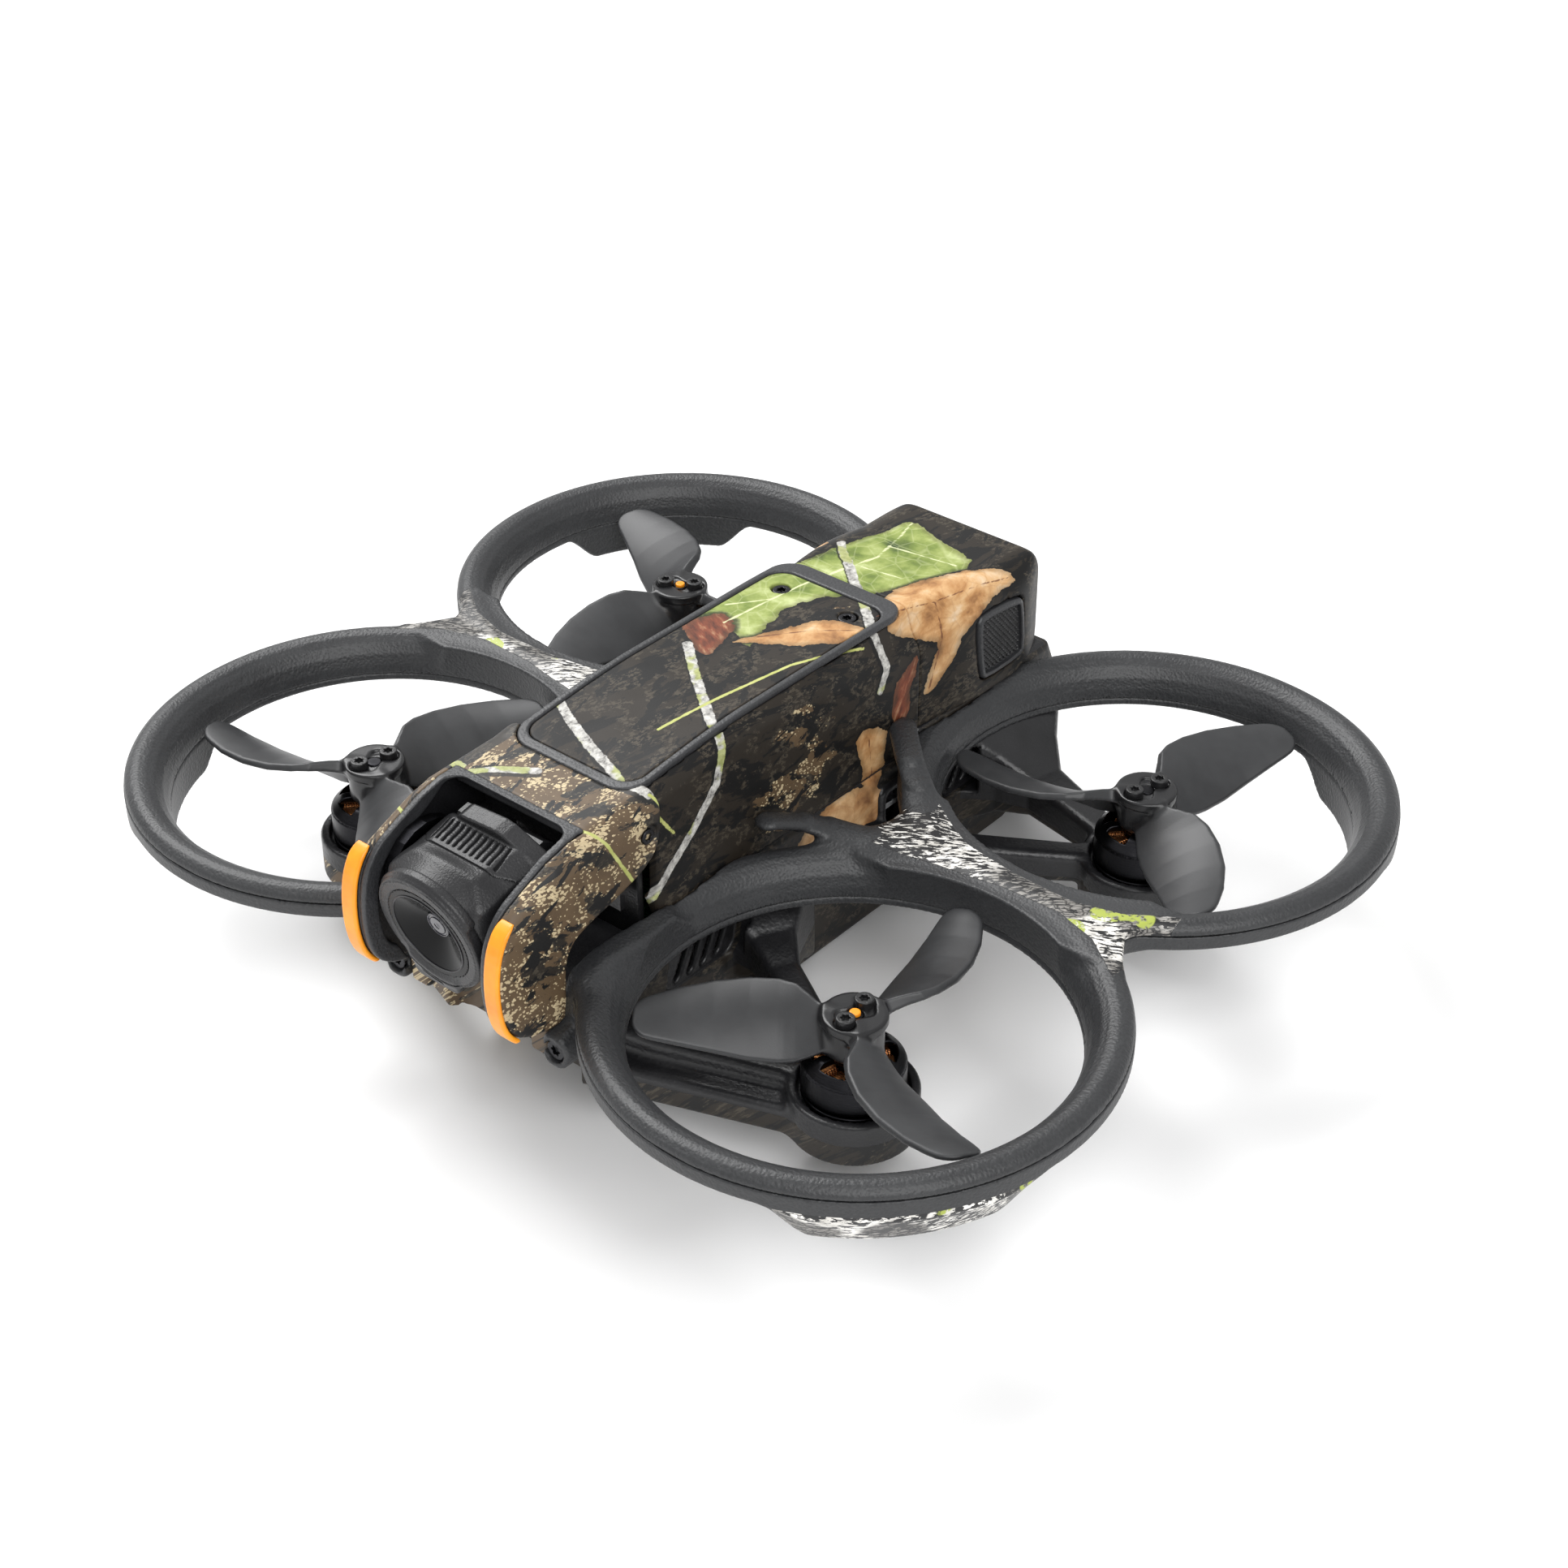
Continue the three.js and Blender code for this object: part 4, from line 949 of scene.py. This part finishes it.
def coat(x, y, z):
    """The body's outer surface, whose sides flare round the battery's head behind a long hollow."""
    flare = ease((y - 24) / 22)
    body = hull(x, z, BODY_SIDE + 2.7 * flare, roof(y), 4.2 + 2.9 * flare)
    front = limb(np.abs(x), y, z, (19.6, -14, 63.4), (19.9, 26, 61.6), 1.5, 5.6)
    rear = limb(np.abs(x), y, z, (19.9, 26, 61.6), (23.5, 42, 63), 5.6, 4.6)
    return carve(body, np.minimum(front, rear), 3.0)


def rim_plan(x, y):
    return rectangle(x, y + 11.95, 14.75, 38.65, 5.3)


def upper_shell(x, y, z):
    ends = np.maximum(-50.7 - y, y - HEAD_JOINT_Y + 0.06)
    body = overlap(coat(x, y, z), overlap(ends, 34.0 - z), 0.25)
    lip = outline(y, z, [(-70, 30), (-44.3, 30), (-50.5, 47), (-70, 47)], 0)
    body = carve(body, lip)
    cheek = outline(y, z, [(-70, 30), (-46.2, 40), (-46.2, 70), (-70, 70)], 0)
    body = carve(body, overlap(cheek, 0.15 - rim_plan(x, y)))
    body = carve(body, overlap(rim_plan(x, y) - 0.1, roof(y) - 1.3 - z))
    return carve(body, block(x, y, z, (-14.8, -70, 20), (14.8, 40, 59.0), 2.0))


def cover_rim(x, y, z):
    ring = overlap(rim_plan(x, y), -rectangle(x, y + 13.0, 13.3, 35.4, 4.0))
    return slab(ring, z - roof(y), -1.1, 0.35, 0.35)


def top_cover(x, y, z):
    plate = rectangle(x, y + 13.0, 13.15, 35.25, 3.9)
    body = slab(plate, z - roof(y), -1.1, 0.12, 0.3)
    for side in (-1, 1):
        body = carve(body, slab(norm(x - 8.2 * side, y - 16.5) - 2.0, z, 60, 70, 0.2))
    return body


def bulkhead(x, y, z):
    """The dark wall that closes the shell behind the camera."""
    wall = slab(rectangle(x, z - 39.8, 14.4, 19.0, 1.5), y, -48.6, -47.2, 0.3)
    return carve(wall, slab(rectangle(x, z - 46, 9.5, 7.5, 2.0), y, -50, -48.1, 0.2))


def fuselage():
    shell = sculpt(upper_shell, (-17, -52, 33), (17, 28, 64), 0.42)
    paint(add("upper_shell_skin", shell, "airframe", SKIN, "camouflage_skin", "upper_shell"), shell[0])
    rim = sculpt(cover_rim, (-15, -51, 59), (15, 27, 65), 0.3)
    add("cover_rim_skin", rim, "airframe", CHARCOAL, "guard_plastic", "cover_rim")
    cover = sculpt(top_cover, (-13.5, -49, 59), (13.5, 23, 65), 0.3)
    paint(add("top_cover_skin", cover, "airframe", SKIN, "camouflage_skin", "top_cover"), cover[0])
    wall = sculpt(bulkhead, (-15, -49, 20), (15, -47, 59), 0.3)
    add("front_bulkhead", wall, "airframe", BLACK, "frame_plastic")


# ---- Nose cage, trim and bumpers ----
EAR = softened([
    (-66.2, 64.0), (-71.2, 60.1), (-77, 57.4), (-82.0, 54.9), (-85.2, 50.6), (-86.3, 45), (-86.2, 38.8),
    (-84.9, 33.6), (-82.0, 30.4), (-77.5, 28.9), (-73.4, 28.2), (-71.0, 29.4), (-71.3, 35.2),
    (-70.6, 41.3), (-67.4, 44.3), (-57.2, 46.4), (-49.1, 49.1), (-46.6, 53.5), (-46.6, 64.4), (-56, 64.4),
])
EAR_FRONT = [(-92, 70), (-61.9, 70), (-61.9, 57), (-72, 53), (-80, 48), (-80, 33.5), (-76, 26), (-92, 26)]
BUMPER_FRONT = [(-93, 49.5), (-81.6, 55.2), (-81, 44), (-82.4, 33), (-82.6, 30.6), (-93, 28.0)]
LINING_DEPTH = 3.2
LINING_X = 15.25  # outer side of the lining, against the ear
NOSE_HALF = 18.6  # half the nose's width
NOSE_SHOULDER = 4.4  # radius of its upper edges
NOSE_ROOF_Y = [-88, -83.2, -77, -71.2, -66.2, -51, -44]
NOSE_ROOF_Z = [50.5, 54.9, 57.6, 60.0, 61.2, 61.6, 62.7]


def nose_roof(y):
    return np.interp(y, NOSE_ROOF_Y, NOSE_ROOF_Z)


def nose_wrap(x, y, z):
    return hull(x, z, NOSE_HALF, nose_roof(y), NOSE_SHOULDER)


def nose_cage(x, y, z):
    across = np.abs(x)
    ear = slab(outline(y, z, EAR, 0.1), across, 15.3, 22, 0.5)
    plate = np.maximum(np.abs(y + 54.3) - 7.9, 59.2 - z)
    body = overlap(union(ear, plate), nose_wrap(x, y, z), 0.8)
    body = carve(body, overlap(rim_plan(x, y) - 0.15, -51.5 - y))
    recess = slab(norm(y + 49.8, z - 54.6) - 2.3, across, 18.0, 22, 0.2)
    return carve(body, recess)


def nose_trim(x, y, z):
    """The dark lining of the opening between the ears, joined by a bar along the cage's front edge."""
    under = hull(x, z, NOSE_HALF - 0.1, nose_roof(y) - 0.05, NOSE_SHOULDER)
    inner = np.maximum(under, np.abs(x) - LINING_X)
    opening = rectangle(x, y + 93.6, 13.9, 30, 3.4)
    side = outline(y, z, EAR, 0)
    lining = most(side - 0.25, -LINING_DEPTH - side, outline(y, z, EAR_FRONT, 0))
    bar = np.maximum(np.abs(y + 62.3) - 0.5, 58.9 - z)
    return overlap(overlap(inner, -opening), union(lining, bar, 0.6), 0.5)


def nose_bumper(x, y, z):
    side = outline(y, z, EAR, 0)
    band = np.maximum(side - 1.15, 0.15 - side)
    return slab(overlap(band, outline(y, z, BUMPER_FRONT), 0.6), x, 15.5, 18.9, 0.5)


def nose():
    cage = sculpt(nose_cage, (-18.6, -89, 27), (18.6, -46, 64), 0.33)
    piece = add("nose_cage_skin", cage, "airframe", FRAME, "camouflage_skin", "nose_cage")
    paint(piece, cage[0], skin=-0.9 - nose_wrap(*cage[0].T))
    trim = sculpt(nose_trim, (-15.5, -89, 27), (15.5, -61, 62), 0.3)
    add("nose_trim_skin", trim, "airframe", CHARCOAL, "guard_plastic", "nose_trim")
    bumper = sculpt(nose_bumper, (15, -90.2, 28), (19, -79, 57), 0.18)
    for node, shape in (("nose_bumper_left", bumper), ("nose_bumper_right", mirrored(bumper))):
        add(f"{node}_skin", shape, "airframe", ORANGE, "bumper_plastic", node)


# ---- Battery ----
HEAD_SIDE = [
    (20, 38.2), (73, 38.2), (70.8, 42), (69.6, 49.5), (67.6, 55.6), (64, 60.2), (45, 62.2), (20, 66),
]
HEAD_PLAN = [(21, 20), (21, 52), (18.4, 59.5), (15.1, 66.5), (10.6, 73.4)]
BUCKLE = softened([
    (42.4, 54.6), (43.8, 56), (55.4, 54.8), (56.8, 53.2), (57.9, 42.8), (56.6, 41.4), (45.6, 41.4),
    (44, 42.8),
], 1)
DIAMOND = 1.15  # pitch of the grips' diamonds


def battery_case(x, y, z):
    side = outline(y, z, HEAD_SIDE, 0.8)
    plan = outline(x, y, HEAD_PLAN + [(-u, v) for u, v in HEAD_PLAN[::-1]], 0.9)
    body = overlap(overlap(coat(x, y, z), side, 1.6), plan, 2.0)
    body = overlap(body, HEAD_JOINT_Y + 0.06 - y, 0.25)
    pocket = slab(outline(y, z, BUCKLE, 0.8), np.abs(x), 14.0, 24, 0.4)
    body = carve(body, pocket, 0.3)
    body = union(body, block(x, y, z, (-13.7, -31.4, 37.4), (13.7, 30, 56.5), 0.6))
    button = slab(norm(x, z - 45) - 4.6, y, 68.6, 80, 0.3)
    lights = slab(rectangle(x, z - 52.5, 7.4, 0.9, 0.8), y, 68, 80, 0.2)
    return carve(carve(body, button), lights)


def buckle_frame(x, y, z):
    body = slab(outline(y, z, BUCKLE, 0.4), x, 15.8, 19.9, 0.7)
    return carve(body, slab(outline(y, z, BUCKLE, -0.8), x, 18.9, 22, 0.3))


def buckle_grip(x, y, z):
    """A pad of small pyramids."""
    u, v = (y + 0.9 * z) / DIAMOND, (y - 0.9 * z) / DIAMOND
    valley = np.maximum(np.abs(u - np.round(u)), np.abs(v - np.round(v)))
    return slab(outline(y, z, BUCKLE, -0.9), x, 17.5, 19.5, 0.2) + 0.9 * valley * (x > 18.2)


def battery():
    case = sculpt(battery_case, (-20.5, -32, 37), (20.5, 75, 64), 0.45)
    paint(add("battery_case_skin", case, "battery", SKIN, "camouflage_skin", "battery_case"), case[0])
    holder = sculpt(buckle_frame, (15, 40, 39.5), (20.5, 60, 58), 0.2)
    grip = sculpt(buckle_grip, (17, 42, 41), (20.5, 59, 57), 0.14)
    for side, turn in (("left", lambda shape: shape), ("right", mirrored)):
        body = f"buckle_{side}"
        add(f"{body}_frame", turn(holder), body, CHARCOAL, "guard_plastic", f"battery_{body}")
        add(f"{body}_grip", turn(grip), body, BLACK, "guard_plastic")


# ---- Camera ----
CAMERA_SIDE = [
    (-7.2, -7.6), (-7.2, 6.6), (-4.4, 8.6), (0.5, 8.9), (4.6, 8.2), (7.8, 4.2), (8.2, -3), (4.6, -7.8),
    (-2, -8.6),
]
CAMERA_HUMP = [
    (-9.5, 5), (-6.6, 9.9), (-5.6, 10.5), (2.2, 11.2), (4.2, 10.8), (11.2, 7.4), (11.2, 2), (-9.5, 2),
]
GROOVE_PITCH = 1.36
RING_RADIUS = 11.75
WINDOW_RADIUS = 8.0
CONE_SLOPE = 1.86
CONE_MOUTH = -11.9  # where the lens's cone opens, ahead of the tilt axis


def to_camera(x, y, z):
    """World place to the camera's own axes, whose origin is on the tilt axis."""
    dy, dz = y - TILT_Y, z - TILT_Z
    c, s = math.cos(REST_PITCH), math.sin(REST_PITCH)
    return x, dy * c + dz * s, dz * c - dy * s


def baffle(x, y, z):
    """The open cone in front of the lens."""
    return norm(x, z) - WINDOW_RADIUS - 1.3 + CONE_SLOPE * (y - CONE_MOUTH)


def camera_body(x, y, z):
    x, y, z = to_camera(x, y, z)
    box = slab(outline(y, z, CAMERA_SIDE, 1.4), x, -11.2, 11.2, 1.4)
    box = overlap(box, np.abs(x) * 0.55 + z * 0.83 - 12.2, 0.5)
    body = union(box, slab(norm(x, z) - 11.0, y, -9.6, -4.6, 0.8), 4.0)
    skin = body
    for i in range(12):
        bend = x + 7.4 - GROOVE_PITCH * i + 0.035 * (y + 1.5) ** 2
        length = np.abs(y - 1.9) - 2.7
        body = carve(body, most(np.abs(bend) - 0.24, length, 4.5 - z, -skin - 0.7), 0.15)
    seam = np.abs(y + 1.9 - 0.8 * np.maximum(np.abs(x) - 7.8, 0)) - 0.13
    body = carve(body, most(seam, -2.0 - z, -skin - 0.4))
    hump = slab(outline(x, z, CAMERA_HUMP, 0.3), y, 4.9, 8.6, 0.5)
    return carve(union(body, hump, 0.3), baffle(x, y, z))


def lens_hood(x, y, z):
    x, y, z = to_camera(x, y, z)
    r = norm(x, z)
    body = slab(r - RING_RADIUS, y, -12.05, -9.7, 0.7)
    brow = overlap(slab(r - RING_RADIUS - 0.5, y, -11.2, -9.2, 0.6), 5.6 - z, 0.8)
    body = union(body, brow, 0.5)
    body = union(body, slab(rectangle(x + 1.5, z + 10.4, 5.4, 3.0, 1.6), y, -12.05, -10.0, 0.4), 1.6)
    body = carve(body, slab(r - WINDOW_RADIUS - 0.45, y, -14, -11.6, 0.05))
    body = carve(body, baffle(x, y, z))
    body = carve(body, slab(np.abs(r - 11.1) - 0.12, y, -14, -11.9, 0.02), 0.1)
    slot = np.maximum(np.abs(r - 12.0) - 0.35, np.abs(x + 2.2) - 2.4)
    return carve(body, most(slot, z, y + 11.3), 0.2)


def lens_baffle(x, y, z):
    """The glossy black lining of the cone."""
    x, y, z = to_camera(x, y, z)
    cone = norm(x, z) - WINDOW_RADIUS + 0.25 + CONE_SLOPE * (y - CONE_MOUTH)
    return most(-cone, cone - 1.5, -12.0 - y, y + 9.0)


def window_ring(x, y, z):
    """The thin bright edge round the lens's window."""
    x, y, z = to_camera(x, y, z)
    return slab(np.abs(norm(x, z) - WINDOW_RADIUS - 0.02) - 0.17, y, -12.15, -11.2, 0.08)


def lens_dome(x, y, z):
    x, y, z = to_camera(x, y, z)
    r = norm(x, z)
    body = slab(r - 2.55, y, -9.75, -7.9, 0.3)
    body = carve(body, slab(np.abs(r - 1.95) - 0.22, y, -11, -9.5, 0.05), 0.1)
    return union(body, norm(x, z, (y + 8.4) * 1.1) - 1.62, 0.1)


def camera():
    body = sculpt(camera_body, (-13, -88, 34), (13, -61, 61), 0.23)
    add("camera_body_skin", body, "camera", CAMERA_BLACK, "camera_plastic", "camera_body")
    hood = sculpt(lens_hood, (-13.2, -90, 30), (13.2, -79, 61), 0.2)
    add("lens_hood_skin", hood, "camera", CAMERA_BLACK, "camera_plastic", "lens_hood")
    cone = sculpt(lens_baffle, (-9.5, -88, 36), (9.5, -79, 58), 0.16)
    add("lens_baffle", cone, "camera", GLOSSY, "camera_plastic")
    edge = sculpt(window_ring, (-9.2, -88, 36), (9.2, -81, 58), 0.1)
    add("lens_window_ring", edge, "camera", STEEL, "camera_plastic")
    dome = sculpt(lens_dome, (-2.8, -84, 42), (2.8, -79, 49), 0.1)
    add("lens_dome", dome, "camera", GLASS, "optical_glass", "lens_glass")


# ---- Motors and propellers ----
BLADE_RADII = [3, 5.5, 7.5, 10, 13, 18, 24, 30, 34, 37.6]
BLADE_CHORDS = [6.5, 8, 10.5, 13.5, 14.8, 15, 13.6, 11.4, 9.4, 7]
BLADE_SWEEPS = [0, 0.5, 1.2, 2.2, 2.8, 3.2, 3.2, 2.4, 1.4, 0.4]
BLADE_PITCHES = [50, 48, 45, 40, 35, 29, 24, 19, 15.5, 13]
BLADE_HEIGHTS = [29.6, 29.6, 29.5, 29.4, 29.3, 29.3, 29.6, 30.1, 30.6, 31.1]
SCREW_SPACING = 3.1  # each propeller screw's distance from the shaft


def blade(x, y, z):
    """One blade along +X for a propeller that turns anticlockwise, leading edge at +Y."""
    chord = np.interp(x, BLADE_RADII, BLADE_CHORDS)
    pitch = np.radians(np.interp(x, BLADE_RADII, BLADE_PITCHES))
    up = z - np.interp(x, BLADE_RADII, BLADE_HEIGHTS)
    out = y - np.interp(x, BLADE_RADII, BLADE_SWEEPS)
    aside = out * np.cos(pitch) + up * np.sin(pitch)
    lift = up * np.cos(pitch) - out * np.sin(pitch)
    camber = 0.07 * chord * (1 - np.clip(2 * aside / chord, -1, 1) ** 2)
    thick = np.interp(x, [3, 12, 37], [1.5, 0.75, 0.5])
    plan = rectangle(x - 18, aside, BLADE_TIP - 18, chord / 2, 2.4)
    return slab(plan, lift - camber, -thick, thick, 0.42)


def hub(x, y, z):
    """The hub, whose top has a hollow running between its two screws."""
    r = norm(x, y)
    body = slab(r - 5.15, z, 26.3, 33.0, 0.4)
    body = union(body, slab(r - 5.8, z, 31.9, HUB_TOP_Z, 0.45), 0.4)
    along = np.clip(x, -SCREW_SPACING, SCREW_SPACING)
    hollow = norm(x - along, y - 0.9 * np.sin(along)) - 2.05
    body = carve(body, overlap(hollow, HUB_TOP_Z - 0.6 - z), 0.3)
    return carve(body, r - 1.55)


def propeller(x, y, z):
    body = hub(x, y, z)
    for i in range(3):
        c, s = math.cos(math.radians(120 * i)), math.sin(math.radians(120 * i))
        body = union(body, blade(x * c + y * s, y * c - x * s, z), 1.6)
    return carve(body, norm(x, y) - 1.55)


def propeller_screws(x, y, z):
    return screw_head(np.abs(x) - SCREW_SPACING, y, z, 1.68, HUB_TOP_Z + 1.1)


def shaft_cap(x, y, z):
    return slab(norm(x, y) - 1.0, z, HUB_TOP_Z - 0.6, HUB_TOP_Z + 0.3, 0.25)


def bell(x, y, z):
    r = norm(x, y)
    turn = np.degrees(np.arctan2(y, x))
    body = slab(r - BELL_RADIUS, z, 18.3, 26.0, 0.7)
    body = overlap(body, z + 0.9 * r - 32.0, 0.5)
    body = carve(body, slab(r - 7.9, z, 10, 24.6, 0.3))
    step = np.abs((turn + 30) % 60 - 30)
    window = overlap(np.abs(r - 5.7) - 1.75, (step - 21) * r * math.pi / 180, 0.5)
    body = carve(body, overlap(window, 23 - z), 0.2)
    body = carve(body, overlap(np.abs(z - 23.6) - 0.1, 8.9 - r))
    return union(body, slab(r - 1.45, z, 24, HUB_TOP_Z - 0.3, 0.1))


def stator(x, y, z):
    r = norm(x, y)
    base = slab(r - BELL_RADIUS, z, 16.5, 17.9, 0.3)
    return union(base, slab(r - 2.9, z, 16.6, 23.5, 0.2))


def windings(x, y, z):
    """Nine copper coils round the stator."""
    r = norm(x, y)
    turn = np.degrees(np.arctan2(y, x))
    aside = ((turn + 20) % 40 - 20) * math.pi / 180 * r
    coil = rectangle(aside, z - 20.8, 0.3 * r, 2.5, 0.8)
    strand = 0.08 * np.cos(r * 12)
    return slab(coil - strand, r, 3.1, 7.1, 0.4)


def motors():
    turning = sculpt(propeller, (-38, -38, 24), (38, 38, 37.5), 0.34)
    clockwise = (turning[0] * [1, -1, 1], turning[1][:, ::-1])
    can = sculpt(bell, (-9.3, -9.3, 18), (9.3, 9.3, 34), 0.22)
    core = sculpt(stator, (-9.3, -9.3, 16), (9.3, 9.3, 24), 0.25)
    coils = sculpt(windings, (-7.3, -7.3, 18), (7.3, 7.3, 24), 0.18)
    heads = sculpt(propeller_screws, (-5, -2, 32), (5, 2, 35.2), 0.1)
    cap = sculpt(shaft_cap, (-1.2, -1.2, 33), (1.2, 1.2, 34.3), 0.1)
    for name, x, y, spin, phase in CORNERS:
        place = (x, y, 0)
        rotor = f"rotor_{name}"
        blades = turning if spin > 0 else clockwise
        piece = add(f"propeller_{name}_skin", placed(blades, place, phase), rotor, BLADE, "blade_plastic",
                    f"propeller_{name}")
        store(piece, "skin", norm(*blades[0][:, :2].T) - 6.4)
        add(f"propeller_screws_{name}", placed(heads, place, phase), rotor, BLACK, "screw_steel")
        if spin < 0:
            add(f"shaft_cap_{name}", placed(cap, place), rotor, ORANGE, "bumper_plastic")
        add(f"motor_bell_{name}_skin", placed(can, place, phase), rotor, MOTOR_BLACK, "motor_metal",
            f"motor_bell_{name}")
        add(f"stator_base_{name}", placed(core, place), "airframe", MOTOR_BLACK, "motor_metal",
            f"motor_stator_{name}")
        add(f"stator_windings_{name}", placed(coils, place), "airframe", COPPER, "winding_copper")


# ---- Carried-over CAD nodes ----
CARRIED = {
    "main_board": BOARD, "heat_sink": ALUMINIUM, "fan_housing": BLACK, "fan_rotor": BLACK,
    "gps_module": ALUMINIUM, "battery_socket": BLACK, "charge_port": ALUMINIUM, "vision_lens_front": GLASS,
    "vision_lens_rear": GLASS, "infrared_sensor": BLACK, "battery_cells": CELL, "battery_connector": BLACK,
    "power_button": CHARCOAL, "battery_light_bar": GLASS, "camera_back": BLACK, "tilt_motor": MOTOR_BLACK,
    "gimbal_yoke": BLACK, "gimbal_plate": BLACK, "gimbal_damper_1": RUBBER, "gimbal_damper_2": RUBBER,
    "gimbal_damper_3": RUBBER,
}


def carried():
    for name, material in CARRIED.items():
        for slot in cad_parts[name].material_slots:
            slot.material = material


# ---- Stage, light and camera ----
def stage():
    bpy.ops.mesh.primitive_plane_add(size=6, location=(0, 0, 0))
    floor = bpy.context.object
    floor.name = "floor"
    g = Graph("studio_floor")
    tint = g.ramp(g.noise(g.place, 400, 2), (0.3, (0.89, 0.89, 0.89)), (0.7, (0.91, 0.91, 0.91)))
    floor.data.materials.append(g.finish(tint, 0.6))


def lights():
    world = bpy.data.worlds.new("studio")
    world.use_nodes = True
    world.node_tree.nodes["Background"].inputs["Color"].default_value = (1, 1, 1, 1)
    world.node_tree.nodes["Background"].inputs["Strength"].default_value = 0.66
    bpy.context.scene.world = world
    for place, size, power in (((-0.75, 0.15, 0.95), 0.8, 14), ((0.7, -0.45, 0.85), 0.8, 8)):
        data = bpy.data.lights.new("softbox", "AREA")
        data.size = size
        data.energy = power
        lamp = bpy.data.objects.new("softbox", data)
        lamp.location = place
        lamp.rotation_euler = (Vector((0, 0, 0.03)) - Vector(place)).to_track_quat("-Z", "Y").to_euler()
        bpy.context.scene.collection.objects.link(lamp)


CAMERA_PLACE = Vector((279.6, -323.2, 323.2)) * MM
CAMERA_TARGET = Vector((-0.1, 7.9, 27.3)) * MM


def viewpoint():
    data = bpy.data.cameras.new("camera")
    data.lens = 62.45
    data.sensor_width = 36
    data.clip_start = 0.01
    view = bpy.data.objects.new("camera", data)
    view.location = CAMERA_PLACE
    view.rotation_euler = (CAMERA_TARGET - CAMERA_PLACE).to_track_quat("-Z", "Y").to_euler()
    bpy.context.scene.collection.objects.link(view)
    bpy.context.scene.camera = view


guards()
frames()
fuselage()
nose()
battery()
camera()
motors()
screws()
carried()
stage()
lights()
viewpoint()
bpy.context.scene.view_settings.view_transform = "Standard"
